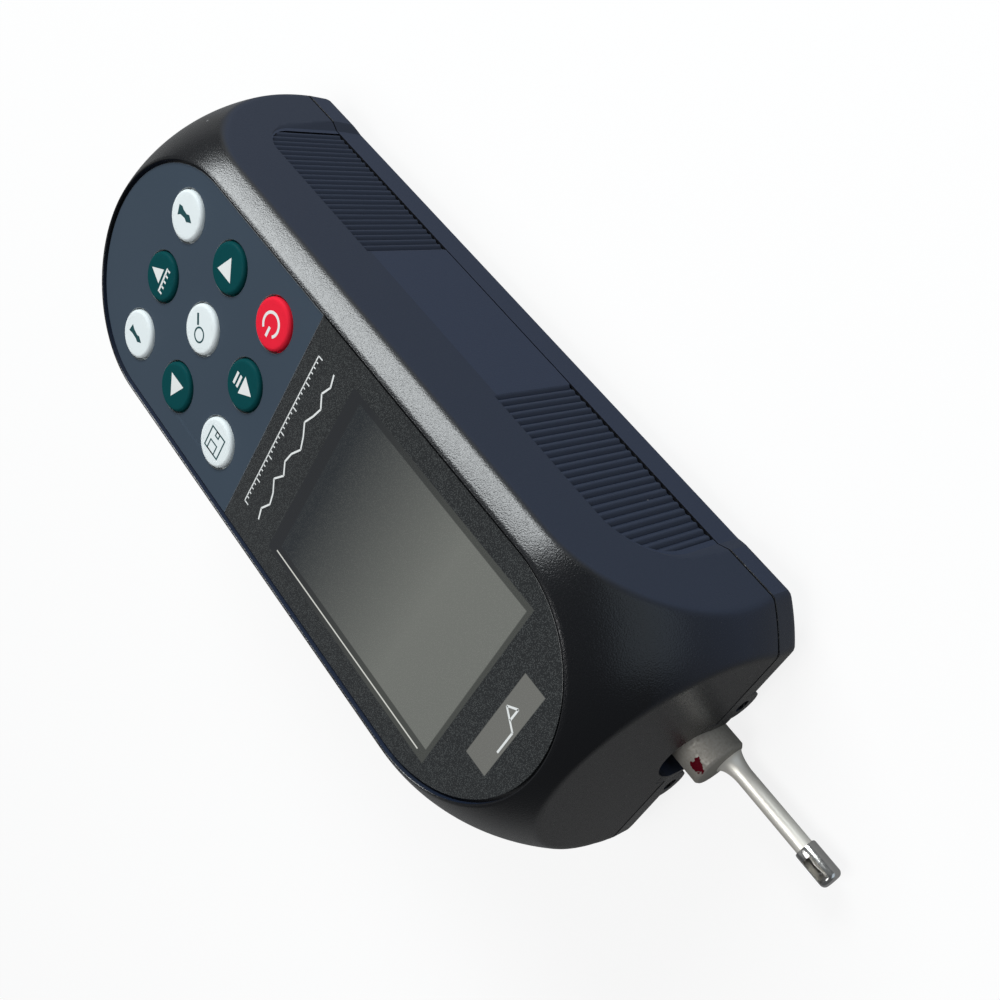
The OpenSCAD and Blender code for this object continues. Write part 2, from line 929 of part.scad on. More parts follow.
module pickup_rod()
  color([0.78, 0.77, 0.72])
    difference() {
      union() {
        bar(collar_front - rod_spigot, rod_z, rod_r, rod_spigot + rod_l);
        intersection() {
          translate([0, collar_front, rod_z])
            rotate([-90, 0, 0])
              rotate_extrude()
                flare_profile();
          bar(collar_front - over, pickup_z, collar_r - collar_edge, flare_r + 2 * over);
        }
      }
      bar(collar_front - rod_spigot - over, rod_z, rod_bore_r, rod_spigot + rod_l + 2 * over);
    }

// Hollow curve that leads from the collar's face into the rod
module flare_profile()
  difference() {
    translate([rod_r / 2, 0])
      square([rod_r / 2 + flare_r, flare_r]);
    translate([rod_r + flare_r, flare_r])
      circle(r = flare_r);
  }

module skid_head()
  color([0.82, 0.83, 0.85])
    difference() {
      translate([0, head_back, rod_z])
        rotate([-90, 0, 0])
          rotate_extrude()
            head_profile(head_front - head_back);
      bar(head_back - over, rod_z, rod_r + fix_gap, head_rod_lap + over);
      bar(rod_front - over, rod_z, rod_bore_r, slot_back - rod_front + 2 * over);
      block(slot_w, slot_back, slot_front, slot_z, rod_z + skid_r + over);
      translate([0, stylus_y, rod_z - skid_r - over])
        cylinder(r = stylus_hole_r, h = skid_r + over);
    }

module head_profile(h) {
  square([skid_r - skid_edge, h]);
  translate([0, head_chamfer])
    square([skid_r, h - skid_edge - head_chamfer]);
  polygon([[0, 0], [skid_r - head_chamfer, 0], [skid_r, head_chamfer], [0, head_chamfer]]);
  translate([skid_r - skid_edge, h - skid_edge])
    circle(r = skid_edge);
}

module stylus_lever()
  color([0.75, 0.76, 0.78])
    difference() {
      union() {
        bar(armature_y, rod_z, lever_r, stylus_y + stylus_r - armature_y);
        block(armature_w, armature_y - armature_l / 2, armature_y + armature_l / 2,
              rod_z - armature_t / 2, rod_z + armature_t / 2);
        pivot_bar(hub_r, hub_w);
        translate([0, stylus_y, tip_z + tip_l])
          cylinder(r = stylus_r, h = rod_z - tip_z - tip_l);
      }
      pivot_bar(pivot_r + run_gap, hub_w + 2 * over);
    }

module stylus_tip()
  color([0.2, 0.2, 0.22])
    translate([0, stylus_y, tip_z])
      cylinder(r1 = tip_r, r2 = stylus_r, h = tip_l);

// Fasteners

module machine_screw(d, length, head_height) {
  translate([0, 0, -head_height])
    cylinder(r = d * head_ratio, h = head_height);
  cylinder(r = d / 2, h = length);
}

module cover_screws()
  color([0.3, 0.3, 0.32])
    at_cover_screws()
      translate([0, 0, head_sink])
        machine_screw(cover_screw_d, cover_screw_l, head_h);

module board_screws()
  color("silver")
    at_board_screws()
      translate([0, 0, board_z])
        machine_screw(board_screw_d, board_screw_l, board_head_h);

module drive_screws()
  color("silver")
    at_feet()
      translate([0, 0, foot_z + foot_t])
        mirror([0, 0, 1])
          machine_screw(drive_screw_d, drive_screw_l, drive_head_h);

front_shell();
back_cover();
keypad_panel();
display_window();
display_frame();
display_glass();
key_mat();
main_board();
battery_pack();
charge_socket();
drive_frame();
guide_rods();
screw_bearings();
gear_motor();
motor_shaft();
shaft_coupling();
lead_screw();
carriage();
guide_bushes();
drive_nut();
float_pin();
pickup_socket();
contact_pins();
pickup_collar();
sensing_coil();
pickup_rod();
skid_head();
lever_pivot();
stylus_lever();
stylus_tip();
cover_screws();
board_screws();
drive_screws();
for (i = [0 : 8]) key(i);
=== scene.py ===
import bmesh
import bpy
import json
import math
import numpy as np
from mathutils import Matrix, Vector


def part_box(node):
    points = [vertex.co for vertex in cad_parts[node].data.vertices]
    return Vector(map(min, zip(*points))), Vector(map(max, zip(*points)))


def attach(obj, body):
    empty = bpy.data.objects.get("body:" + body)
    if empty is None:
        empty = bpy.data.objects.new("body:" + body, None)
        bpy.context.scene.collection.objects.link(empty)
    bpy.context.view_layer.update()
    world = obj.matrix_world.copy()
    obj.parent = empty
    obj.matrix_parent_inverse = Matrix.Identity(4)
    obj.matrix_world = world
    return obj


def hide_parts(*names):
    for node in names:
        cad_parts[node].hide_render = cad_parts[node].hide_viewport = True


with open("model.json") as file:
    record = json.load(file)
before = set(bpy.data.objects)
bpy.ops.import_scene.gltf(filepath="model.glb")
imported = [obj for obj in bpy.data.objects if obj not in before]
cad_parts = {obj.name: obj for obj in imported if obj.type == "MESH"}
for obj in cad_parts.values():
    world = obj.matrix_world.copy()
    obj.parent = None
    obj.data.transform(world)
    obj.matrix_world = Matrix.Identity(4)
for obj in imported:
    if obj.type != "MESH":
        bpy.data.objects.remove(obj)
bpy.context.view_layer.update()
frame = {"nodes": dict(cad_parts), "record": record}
MM = 0.001

# Sizes read from the frame, in millimetres


def span(node):
    low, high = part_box(node)
    return low / MM, high / MM


shell_low, shell_high = span("front_shell")
keypad_low, keypad_high = span("keypad_panel")
collar_low, collar_high = span("pickup_collar")
head_low, head_high = span("skid_head")
tip_low, tip_high = span("stylus_tip")
screws_low, screws_high = span("cover_screws")
window_end = span("display_window")[1].y
rod_front = span("pickup_rod")[1].y
carriage_front = span("carriage")[1].y

SEAM_Z, RIM_Z = shell_low.z, shell_high.z
HALF_W, HALF_L = shell_high.x, shell_high.y
FACE_Z, LEDGE_Z = keypad_high.z, keypad_low.z
PANEL_R = keypad_high.x
END_Y = window_end - PANEL_R
PICKUP_Z = (collar_low.z + collar_high.z) / 2
ROD_Z = (head_low.z + head_high.z) / 2

# Housing
DRAFT_ANGLE = math.radians(7.3)
DRAFT = math.tan(DRAFT_ANGLE)
DRAFT_COS = math.cos(DRAFT_ANGLE)
SHOULDER_R = 42.0
SHOULDER_REACH = 15.0
SHOULDER_C = PANEL_R + SHOULDER_REACH - SHOULDER_R
SHOULDER_Z = SEAM_Z - 1.0
CORNER_R = PANEL_R + SHOULDER_REACH
EDGE_BLEND = 0.35
BEVEL_BLEND = 0.35
WALL = 2.4
COVER_WALL = 3.55
DECK_T = 2.0
LEDGE_W = 3.0
PANEL_GAP = 0.5
RIM_EDGE = 0.1
SEAM_GAP = 0.13
# Round edge at the seam: distance from the seam and inset
SEAM_EDGE = [(0.0, 0.22), (0.04, 0.08), (0.14, 0.0)]
BASE_BEVEL = 6.0
# Round edge under the base: height and what the inset has beyond the bevel
BASE_EDGE = [(0.0, 0.2), (0.1, -0.05), (0.4, -0.4)]
FLOOR_T = 1.8
# Rings of points lie closer together above this height, where the shoulder bends over
BEND_Z = 36.0

# Grips
GRIP_LOW_Y, GRIP_HIGH_Y = -53.0, 52.0
GRIP_TOP_Z = 27.5
GRIP_DEPTH = 0.8
GRIP_CORNER_R = 6.8
GRIP_SWEEP_R = 10.0
GRIP_HEAD = 0.6
GRIP_RAMP = 2.6
GRIP_TOP_X = HALF_W - (GRIP_TOP_Z - SEAM_Z) * DRAFT
GRIP_FLOOR_X = HALF_W - GRIP_DEPTH
GRIP_SLOPE = (GRIP_FLOOR_X - GRIP_TOP_X) / (GRIP_TOP_Z - SEAM_Z)
# A face of the housing is a grip's floor when its normal has more than this along x
GRIP_FLOOR_COS = (math.cos(math.atan(GRIP_SLOPE)) + DRAFT_COS) / 2
RIB_PITCH = 1.4
RIB_COUNT = 25
RIB_DEPTH = 0.45
RIB_CREST = 0.55
RIB_INSET = 0.9
RIB_SLIT = 0.02
RIB_LIFT = 0.3
RIB_SINK = 0.015
RIB_RUN = RIB_PITCH * RIB_COUNT
# Low end, high end and corner rounding at each of them
rib_groups = [(GRIP_LOW_Y + RIB_INSET, GRIP_LOW_Y + RIB_INSET + RIB_RUN, GRIP_CORNER_R - RIB_INSET, 0),
              (GRIP_HIGH_Y - RIB_INSET - RIB_RUN, GRIP_HIGH_Y - RIB_INSET, 0, GRIP_SWEEP_R - RIB_INSET)]

# Opening for the pickup
OPENING_R = 5.6
TAB_W, TAB_H = 1.4, 2.0
TAB_GAP = 0.1
LUG_X, LUG_R, LUG_L = 9.9, 3.0, 9.5
LUG_HOLE_R = 1.25
TROUGH_W, TROUGH_Z, TRAVEL = 10.4, 0.8, 17.5
SOCKET_GAP = 0.3
# How far a cutter goes through an end wall, and out past it
CUT_IN, CUT_PAST = 8.0, 2.0

# Cover screws
SCREW_HEAD_R, SCREW_HEAD_H, SCREW_EDGE = 2.4, 1.6, 0.25
SCREW_SHANK_R = 1.25
DRIVE_L, DRIVE_W, DRIVE_DEPTH = 1.4, 0.32, 0.9
BORE_R, BORE_DEPTH = 2.7, 3.2
screw_places = [(x * (screws_high.x - SCREW_HEAD_R), y * (screws_high.y - SCREW_HEAD_R))
                for x in (-1, 1) for y in (-1, 1)]

# Keys
KEY_R, KEY_EDGE, KEY_LAND = 4.3, 0.62, 1.2
KEY_FLANGE_R, KEY_FLANGE_T = 5.2, 0.8

# Prints: how far they stand out of a face and reach into it
PRINT_T, PRINT_SINK = 0.03, 0.02
VIEW_W, VIEW_L, VIEW_Y = 34.0, 45.0, 26.0
CELL_W, CELL_L = VIEW_W - 3.4, VIEW_L - 3.2
CELL_X, CELL_Y = -0.6, VIEW_Y + 0.8
LABEL_W, LABEL_L = 17.5, 4.6
LABEL_X, LABEL_Y = -0.45, 55.1
# A painted reflection: a pale line along the edge of the display's film
EDGE_REFLECTION_W, EDGE_REFLECTION_L, EDGE_REFLECTION_X = 0.34, 41.0, VIEW_W / 2 - 1.1

# A turned piece keeps a tiny round at its axis, so that its caps are whole faces
AXIS_R = 0.2


# Mesh helpers

def new_piece(name, vertices, faces):
    mesh = bpy.data.meshes.new(name)
    mesh.from_pydata([[c * MM for c in v] for v in vertices], [], faces)
    mesh.validate()
    piece = bpy.data.objects.new(name, mesh)
    bpy.context.scene.collection.objects.link(piece)
    return piece


def face_outwards(piece, merge=True):
    work = bmesh.new()
    work.from_mesh(piece.data)
    if merge:
        bmesh.ops.remove_doubles(work, verts=work.verts, dist=0.002 * MM)
    bmesh.ops.recalc_face_normals(work, faces=work.faces)
    work.to_mesh(piece.data)
    work.free()
    return piece


def settle(piece):
    """Turns the evaluated piece into a plain mesh and drops its modifiers."""
    graph = bpy.context.evaluated_depsgraph_get()
    graph.update()
    mesh = bpy.data.meshes.new_from_object(piece.evaluated_get(graph))
    piece.modifiers.clear()
    piece.data = mesh
    return piece


def soften(piece, angle):
    """Smooth shading, with edges sharper than the angle left crisp."""
    piece.data.polygons.foreach_set("use_smooth", [True] * len(piece.data.polygons))
    piece.data.set_sharp_from_angle(angle=math.radians(angle))
    return piece


def carve(piece, cutters, operation="DIFFERENCE"):
    for cutter in cutters:
        step = piece.modifiers.new(cutter.name, "BOOLEAN")
        step.operation = operation
        step.object = cutter
        step.solver = "EXACT"
    settle(piece)
    for cutter in cutters:
        bpy.data.objects.remove(cutter)
    return piece


def bevelled_copy(name, node, width):
    """A copy of a CAD node with its points merged and its sharp edges rounded."""
    piece = bpy.data.objects.new(name, frame["nodes"][node].data.copy())
    bpy.context.scene.collection.objects.link(piece)
    work = bmesh.new()
    work.from_mesh(piece.data)
    bmesh.ops.remove_doubles(work, verts=work.verts, dist=0.001 * MM)
    bmesh.ops.dissolve_limit(work, angle_limit=math.radians(0.5), verts=work.verts, edges=work.edges)
    work.to_mesh(piece.data)
    work.free()
    edge = piece.modifiers.new("edge", "BEVEL")
    edge.width = width * MM
    edge.segments = 2
    edge.limit_method = "ANGLE"
    edge.angle_limit = math.radians(40)
    edge.harden_normals = False
    return soften(settle(piece), 20)


def tube_faces(rows, columns, closed=False):
    """Quads between rings of points, with the last ring joined to the first or a cap at each end."""
    faces = []
    for row in range(rows if closed else rows - 1):
        here, there = row * columns, (row + 1) % rows * columns
        for i in range(columns):
            k = (i + 1) % columns
            faces.append((here + i, here + k, there + k, there + i))
    if not closed:
        faces.append(tuple(reversed(range(columns))))
        faces.append(tuple((rows - 1) * columns + i for i in range(columns)))
    return faces


def turned(name, profile, segments=96, axis="Z", centre=(0, 0, 0)):
    """A piece turned from (radius, height) points, from the foot of the axis to its head."""
    vertices = []
    for r, h in profile:
        for i in range(segments):
            a = 2 * math.pi * i / segments
            x, y = r * math.cos(a), r * math.sin(a)
            point = (x, h, -y) if axis == "Y" else (x, y, h)
            vertices.append([p + c for p, c in zip(point, centre)])
    return new_piece(name, vertices, tube_faces(len(profile), segments))


def rod_cutter(name, x, y0, y1, z, r, segments=64):
    return turned(name, [(r, 0), (r, y1 - y0)], segments, "Y", (x, y0, z))


def arc(centre, r, start, end, steps):
    """Points of an arc, angles in degrees."""
    turn = [math.radians(start + (end - start) * i / steps) for i in range(steps + 1)]
    return [(centre[0] + r * math.cos(a), centre[1] + r * math.sin(a)) for a in turn]


def rectangle(x0, y0, x1, y1):
    return [(x0, y0), (x1, y0), (x1, y1), (x0, y1)]


def prism(name, outline, low, high, axis="X", far_outline=None):
    """A prism of a flat outline. Along X the outline is (y, z), along Y (x, z) and along Z (x, y)."""
    place = {"X": lambda p, h: (h, p[0], p[1]),
             "Y": lambda p, h: (p[0], h, p[1]),
             "Z": lambda p, h: (p[0], p[1], h)}[axis]
    n = len(outline)
    vertices = [place(p, low) for p in outline] + [place(p, high) for p in far_outline or outline]
    faces = [tuple(range(n)), tuple(range(2 * n - 1, n - 1, -1))]
    faces += [(i, n + i, n + (i + 1) % n, (i + 1) % n) for i in range(n)]
    return face_outwards(new_piece(name, vertices, faces))


# Housing surfaces: rings of points round the housing, solved on a smooth blend of its faces

SIDE_REACH = 56.0
FAN_STEPS = 150
side_ys = np.concatenate([np.linspace(-SIDE_REACH, -END_Y, 20)[:-1], np.linspace(-END_Y, END_Y, 22),
                          np.linspace(END_Y, SIDE_REACH, 20)[1:]])


def smooth_max(a, b, blend):
    reach = np.maximum(blend - np.abs(a - b), 0) / blend
    return np.maximum(a, b) + reach * reach * blend / 4


def stadium(x, y):
    return np.hypot(x, np.maximum(np.abs(y) - END_Y, 0))


def shell_face(x, y, z, inset):
    drop = (z - SEAM_Z) * DRAFT
    side = (np.abs(x) - HALF_W + drop) * DRAFT_COS + inset
    end = (np.abs(y) - HALF_L + drop) * DRAFT_COS + inset
    shoulder = np.hypot(stadium(x, y) - SHOULDER_C, z - SHOULDER_Z) - SHOULDER_R + inset
    return smooth_max(smooth_max(side, end, EDGE_BLEND), shoulder, EDGE_BLEND)


def cover_face(x, y, z, inset):
    side, end = np.abs(x) - HALF_W + inset, np.abs(y) - HALF_L + inset
    return smooth_max(smooth_max(side, end, EDGE_BLEND), stadium(x, y) - CORNER_R + inset, EDGE_BLEND)


def panel_face(x, y, z, inset):
    return stadium(x, y) - PANEL_R + inset


def reach_out(face, z, inset, x0, y0, dx, dy):
    """The points where rays from inside meet a face, found by halving."""
    low, high = np.zeros_like(dx), np.full_like(dx, 60.0)
    for _ in range(44):
        middle = (low + high) / 2
        inside = face(x0 + middle * dx, y0 + middle * dy, z, inset) < 0
        low, high = np.where(inside, middle, low), np.where(inside, high, middle)
    return x0 + low * dx, y0 + low * dy


def ring(face, z, inset):
    """One closed ring of points at a height, with the same columns on every ring."""
    flat = np.zeros_like(side_ys)
    side_x, _ = reach_out(face, z, inset, flat, side_ys, flat + 1, flat)
    start = math.atan2(SIDE_REACH - END_Y, side_x[-1])
    turn = np.linspace(start, math.pi - start, FAN_STEPS + 2)[1:-1]
    fan = np.zeros_like(turn)
    fan_x, fan_y = reach_out(face, z, inset, fan, fan + END_Y, np.cos(turn), np.sin(turn))
    xs = np.concatenate([side_x, fan_x, -side_x, -fan_x])
    ys = np.concatenate([side_ys, fan_y, side_ys[::-1], -fan_y])
    return [(x, y, z) for x, y in zip(xs, ys)]


def lofted(name, rows, closed):
    rings = [ring(*row) for row in rows]
    vertices = [p for r in rings for p in r]
    return face_outwards(new_piece(name, vertices, tube_faces(len(rings), len(rings[0]), closed)))


# Grip cutters

def grip_outline(low_y, high_y, low_corner, high_corner):
    """The grip seen from the side, with each upper corner round or square."""
    top, steps = GRIP_TOP_Z + GRIP_HEAD, 14
    points = [(low_y, SEAM_Z), (low_y, -1.0), (high_y, -1.0), (high_y, SEAM_Z)]
    if high_corner:
        points += arc((high_y - high_corner, top - high_corner), high_corner, 0, 90, steps)
    else:
        points.append((high_y, top))
    if low_corner:
        points += arc((low_y + low_corner, top - low_corner), low_corner, 90, 180, steps)
    else:
        points.append((low_y, top))
    return points


def grip_cutter(name, side, low_y, high_y, low_corner, high_corner, depth, foot_z, ramp=0.0):
    """Cuts to a floor that leans with the wall, past the given depth, down to the given height.

    The ramp is how far an end wall runs outwards for each millimetre of its height above the floor.
    """
    deep, proud = 3.0, 2.0
    near = grip_outline(low_y + ramp * deep, high_y - ramp * deep, low_corner, high_corner)
    far = grip_outline(low_y - ramp * proud, high_y + ramp * proud, low_corner, high_corner)
    window = prism(name, near, side * (GRIP_FLOOR_X - deep), side * (GRIP_FLOOR_X + proud), "X", far)
    for point in window.data.vertices:
        point.co.x -= side * GRIP_SLOPE * max(point.co.z - SEAM_Z * MM, 0)
    lift, past = 2 * GRIP_SWEEP_R, 4
    floor = [(GRIP_FLOOR_X - depth, foot_z), (HALF_W + past, foot_z), (HALF_W + past, GRIP_TOP_Z + lift),
             (GRIP_TOP_X - depth - lift * GRIP_SLOPE, GRIP_TOP_Z + lift), (GRIP_FLOOR_X - depth, SEAM_Z)]
    outside = prism(name + "_floor", [(side * x, z) for x, z in floor],
                    GRIP_LOW_Y - past, GRIP_HIGH_Y + past, "Y")
    return carve(window, [outside], "INTERSECT")


def grip_cutters(with_pockets):
    cutters = []
    for side in (-1, 1):
        cutters.append(grip_cutter(f"recess{side}", side, GRIP_LOW_Y, GRIP_HIGH_Y,
                                   GRIP_CORNER_R, GRIP_SWEEP_R, 0, -2, GRIP_RAMP))
        if with_pockets:
            for n, (low, high, low_r, high_r) in enumerate(rib_groups):
                # the flat end of a pocket lies on a rib's crest, level with the floor around it
                ends = (low, high - RIB_PITCH / 2) if low_r else (low + RIB_PITCH / 2, high)
                cutters.append(grip_cutter(f"pocket{side}{n}", side, *ends, low_r, high_r,
                                           RIB_DEPTH, SEAM_Z - 2))
    return cutters


def crisp_grips(piece):
    """Keeps the shallow edges round each grip's floor sharp under smooth shading."""
    work = bmesh.new()
    work.from_mesh(piece.data)
    for edge in work.edges:
        on_floor = {abs(face.normal.x) > GRIP_FLOOR_COS for face in edge.link_faces}
        if len(on_floor) == 2:
            edge.smooth = False
    work.to_mesh(piece.data)
    work.free()
    return piece


# Front shell and back cover

def end_cut(name, outline, depth):
    """Cuts an (x, z) outline into the end wall that the pickup comes out of."""
    return prism(name, outline, HALF_L - depth, HALF_L + CUT_PAST, "Y")


def arch_cut():
    return rod_cutter("arch", 0, HALF_L - CUT_IN, HALF_L + CUT_PAST, SEAM_Z, OPENING_R)


def make_front_shell():
    foot = SEAM_Z + SEAM_GAP
    rows = [(shell_face, foot + rise, inset) for rise, inset in SEAM_EDGE]
    rows += [(shell_face, z, 0.0) for z in np.linspace(foot + 0.5, BEND_Z, 46)]
    rows += [(shell_face, z, 0.0) for z in np.linspace(BEND_Z + 0.3, RIM_Z - 0.12, 18)]
    rows += [(shell_face, RIM_Z - 0.04, 0.05)]
    rows += [(panel_face, RIM_Z, -PANEL_GAP - 2 * RIM_EDGE), (panel_face, RIM_Z, -PANEL_GAP - RIM_EDGE)]
    rows += [(panel_face, RIM_Z - RIM_EDGE, -PANEL_GAP), (panel_face, LEDGE_Z, -PANEL_GAP)]
    rows += [(panel_face, LEDGE_Z, LEDGE_W), (panel_face, LEDGE_Z - DECK_T, LEDGE_W)]
    rows += [(shell_face, z, WALL) for z in (LEDGE_Z - DECK_T, 33.0, 26.0, 18.0, foot)]
    shell = lofted("front_shell_skin", rows, True)
    notch_x = OPENING_R + TAB_W + TAB_GAP
    notch = rectangle(-notch_x, SEAM_Z - 2, notch_x, SEAM_Z + TAB_H + TAB_GAP)
    socket_low, socket_high = span("charge_socket")
    way = rectangle(socket_low.x - SOCKET_GAP, socket_low.z - SOCKET_GAP,
                    socket_high.x + SOCKET_GAP, socket_high.z + SOCKET_GAP)
    cutters = grip_cutters(True)
    cutters += [arch_cut(), end_cut("tab_notch", notch, 5),
                prism("charge_way", way, -HALF_L - CUT_PAST, -HALF_L + CUT_IN, "Y")]
    return crisp_grips(soften(carve(shell, cutters), 24))


def make_back_cover():
    top = SEAM_Z - SEAM_GAP
    rows = [(cover_face, z, BASE_BEVEL + more) for z, more in BASE_EDGE]
    for z in np.linspace(1.0, BASE_BEVEL + 1.2, 12):
        run = BASE_BEVEL - z
        rows.append((cover_face, z, (run + math.hypot(run, BEVEL_BLEND)) / 2))
    rows += [(cover_face, top - drop, inset) for drop, inset in reversed(SEAM_EDGE)]
    rows += [(cover_face, top, COVER_WALL), (cover_face, FLOOR_T + 4, COVER_WALL),
             (cover_face, FLOOR_T, COVER_WALL + 5)]
    cover = lofted("back_cover_skin", rows, False)
    tab_root, tab_foot, tab_top = HALF_L - 3, SEAM_Z - 3, SEAM_Z + TAB_H
    tab = [(tab_root, tab_foot), (HALF_L, tab_foot), (HALF_L, SEAM_Z),
           (HALF_L - TAB_H * DRAFT, tab_top), (tab_root, tab_top)]
    tabs = prism("tabs", tab, -OPENING_R - TAB_W, OPENING_R + TAB_W)
    lugs = [rod_cutter(f"lug{s}", s * LUG_X, HALF_L - LUG_L, HALF_L - 0.01, PICKUP_Z, LUG_R, 72)
            for s in (-1, 1)]
    carve(cover, [tabs] + lugs, "UNION")
    u_notch = rectangle(-OPENING_R, TROUGH_Z, OPENING_R, SEAM_Z)
    trough = rectangle(-TROUGH_W / 2, TROUGH_Z, TROUGH_W / 2, FLOOR_T + 1)
    cutters = grip_cutters(False)
    cutters += [arch_cut(), end_cut("u_notch", u_notch, 12),
                prism("trough", trough, carriage_front - TRAVEL, HALF_L, "Y")]
    cutters += [rod_cutter(f"lug_hole{s}", s * LUG_X, HALF_L - CUT_IN, HALF_L + CUT_PAST,
                           PICKUP_Z, LUG_HOLE_R, 48) for s in (-1, 1)]
    cutters += [turned(f"bore{x}{y}", [(BORE_R, -1), (BORE_R, BORE_DEPTH)], 48, "Z", (x, y, 0))
                for x, y in screw_places]
    return crisp_grips(soften(carve(cover, cutters), 24))


# Node helpers and geometry node trees

def add_node(tree, kind, inputs, **settings):
    """A node with its settings, and its inputs linked from sockets or set to values."""
    step = tree.nodes.new(kind)
    for label, value in settings.items():
        setattr(step, label, value)
    for label, value in inputs.items():
        if isinstance(value, bpy.types.NodeSocket):
            tree.links.new(value, step.inputs[label])
        else:
            step.inputs[label].default_value = value
    return step


def math_node(tree, operation, a, b=None):
    inputs = {0: a} if b is None else {0: a, 1: b}
    return add_node(tree, "ShaderNodeMath", inputs, operation=operation).outputs[0]


def node_tree(name, inputs):
    tree = bpy.data.node_groups.new(name, "GeometryNodeTree")
    for way in ("INPUT", "OUTPUT"):
        tree.interface.new_socket("Geometry", in_out=way, socket_type="NodeSocketGeometry")
    for label, kind in inputs.items():
        tree.interface.new_socket(label, in_out="INPUT", socket_type="NodeSocket" + kind)
    return tree, tree.nodes.new("NodeGroupInput").outputs


def place_copies(tree, take, points, thing, **more):
    """Ends a tree: copies of an object on points, made real and given the tree's finish."""
    copy = add_node(tree, "GeometryNodeObjectInfo", {"Object": thing})
    put = add_node(tree, "GeometryNodeInstanceOnPoints",
                   {"Points": points, "Instance": copy.outputs["Geometry"], **more})
    real = add_node(tree, "GeometryNodeRealizeInstances", {0: put.outputs[0]})
    paint = add_node(tree, "GeometryNodeSetMaterial",
                     {"Geometry": real.outputs[0], "Material": take["Finish"]})
    tree.links.new(paint.outputs[0], tree.nodes.new("NodeGroupOutput").inputs[0])
    return tree


def rib_tree():
    """Ribs in a row: each runs up to the grip's rounded corner and a little into the wall behind it."""
    tree, take = node_tree("grip ribs", {"Count": "Int", "Pitch": "Float", "Height": "Float",
                                         "Corner": "Float", "Rib": "Object", "Finish": "Material"})
    offset = add_node(tree, "ShaderNodeCombineXYZ", {"Y": take["Pitch"]})
    row = add_node(tree, "GeometryNodeMeshLine", {"Count": take["Count"], "Offset": offset.outputs[0]})
    place = tree.nodes.new("GeometryNodeInputIndex").outputs[0]
    along = math_node(tree, "MULTIPLY", math_node(tree, "ADD", place, 1.0), take["Pitch"])
    short = math_node(tree, "MAXIMUM", math_node(tree, "SUBTRACT", take["Corner"], along), 0.0)
    corner_square = math_node(tree, "POWER", take["Corner"], 2.0)
    square = math_node(tree, "SUBTRACT", corner_square, math_node(tree, "POWER", short, 2.0))
    loss = math_node(tree, "SUBTRACT", take["Corner"], math_node(tree, "SQRT", square))
    tall = math_node(tree, "SUBTRACT", take["Height"], loss)
    size = add_node(tree, "ShaderNodeCombineXYZ", {"X": 1.0, "Y": 1.0, "Z": tall})
    return place_copies(tree, take, row.outputs["Mesh"], take["Rib"], Scale=size.outputs[0])


def screw_tree():
    """The same screw at each point of the piece it is put on."""
    tree, take = node_tree("cover screws", {"Screw": "Object", "Finish": "Material"})
    return place_copies(tree, take, take["Geometry"], take["Screw"])


def grow(holder, tree, **values):
    """Runs a node tree on a piece with its inputs set, and keeps the result as a plain mesh."""
    nodes = holder.modifiers.new(tree.name, "NODES")
    nodes.node_group = tree
    for item in tree.interface.items_tree:
        if item.item_type == "SOCKET" and item.in_out == "INPUT" and item.name in values:
            nodes[item.identifier] = values[item.name]
    return settle(holder)


def make_ribs(finish):
    width, steps = RIB_PITCH - RIB_SLIT, 12
    wave = [0.5 - 0.5 * math.cos(2 * math.pi * i / steps) for i in range(steps + 1)]
    crest = [(width * (0.5 - i / steps), RIB_DEPTH * h ** RIB_CREST) for i, h in enumerate(wave)]
    foot, foot_z = RIB_DEPTH + 0.2, SEAM_Z + SEAM_GAP + RIB_LIFT
    foot_x = GRIP_FLOOR_X - (foot_z - SEAM_Z) * GRIP_SLOPE
    lean = math.atan(GRIP_SLOPE)
    tall = (GRIP_TOP_Z + GRIP_HEAD - foot_z) / math.cos(lean)
    tree = rib_tree()
    pieces = []
    for side, side_name in ((-1, "left"), (1, "right")):
        # a rib one unit tall, its crest facing out of the wall
        outline = [(side * (h - RIB_DEPTH - RIB_SINK), y) for y, h in crest]
        outline += [(-side * foot, -width / 2), (-side * foot, width / 2)]
        rib = prism("rib", outline, 0, 1 / MM, "Z")
        for n, (low, high, low_r, high_r) in enumerate(rib_groups):
            holder = new_piece(f"grip_ribs_{side_name}_{n}", [(0, 0, 0)], [])
            grow(holder, tree, Count=RIB_COUNT, Pitch=RIB_PITCH * MM, Height=tall * MM,
                 Corner=(low_r or high_r) * MM, Rib=rib, Finish=finish)
            # the first rib stands at the rounded end; the far group runs the other way
            flip = Matrix.Diagonal((1, -1, 1, 1)) if high_r else Matrix.Identity(4)
            start = high - RIB_PITCH / 2 if high_r else low + RIB_PITCH / 2
            turn = Matrix.Rotation(-side * lean, 4, "Y")
            move = Matrix.Translation(Vector((side * foot_x, start, foot_z)) * MM)
            holder.data.transform(move @ turn @ flip)
            pieces.append(soften(face_outwards(holder, False), 50))
        bpy.data.objects.remove(rib)
    return pieces


def make_cover_screws(finish):
    low, high = screws_low.z, screws_high.z
    screw = turned("screw", [(0.3, 0), (SCREW_HEAD_R - SCREW_EDGE, 0), (SCREW_HEAD_R, SCREW_EDGE),
                             (SCREW_HEAD_R, SCREW_HEAD_H), (SCREW_SHANK_R, SCREW_HEAD_H),
                             (SCREW_SHANK_R, high - low)], 48)
    slots = [prism("slot0", rectangle(-DRIVE_W, -DRIVE_L, DRIVE_W, DRIVE_L), -1, DRIVE_DEPTH, "Z"),
             prism("slot1", rectangle(-DRIVE_L, -DRIVE_W, DRIVE_L, DRIVE_W), -1, DRIVE_DEPTH, "Z")]
    carve(face_outwards(screw), slots)
    holder = new_piece("cover_screw_set", [(x, y, low) for x, y in screw_places], [])
    grow(holder, screw_tree(), Screw=screw, Finish=finish)
    bpy.data.objects.remove(screw)
    return soften(holder, 35)


# Keys and prints

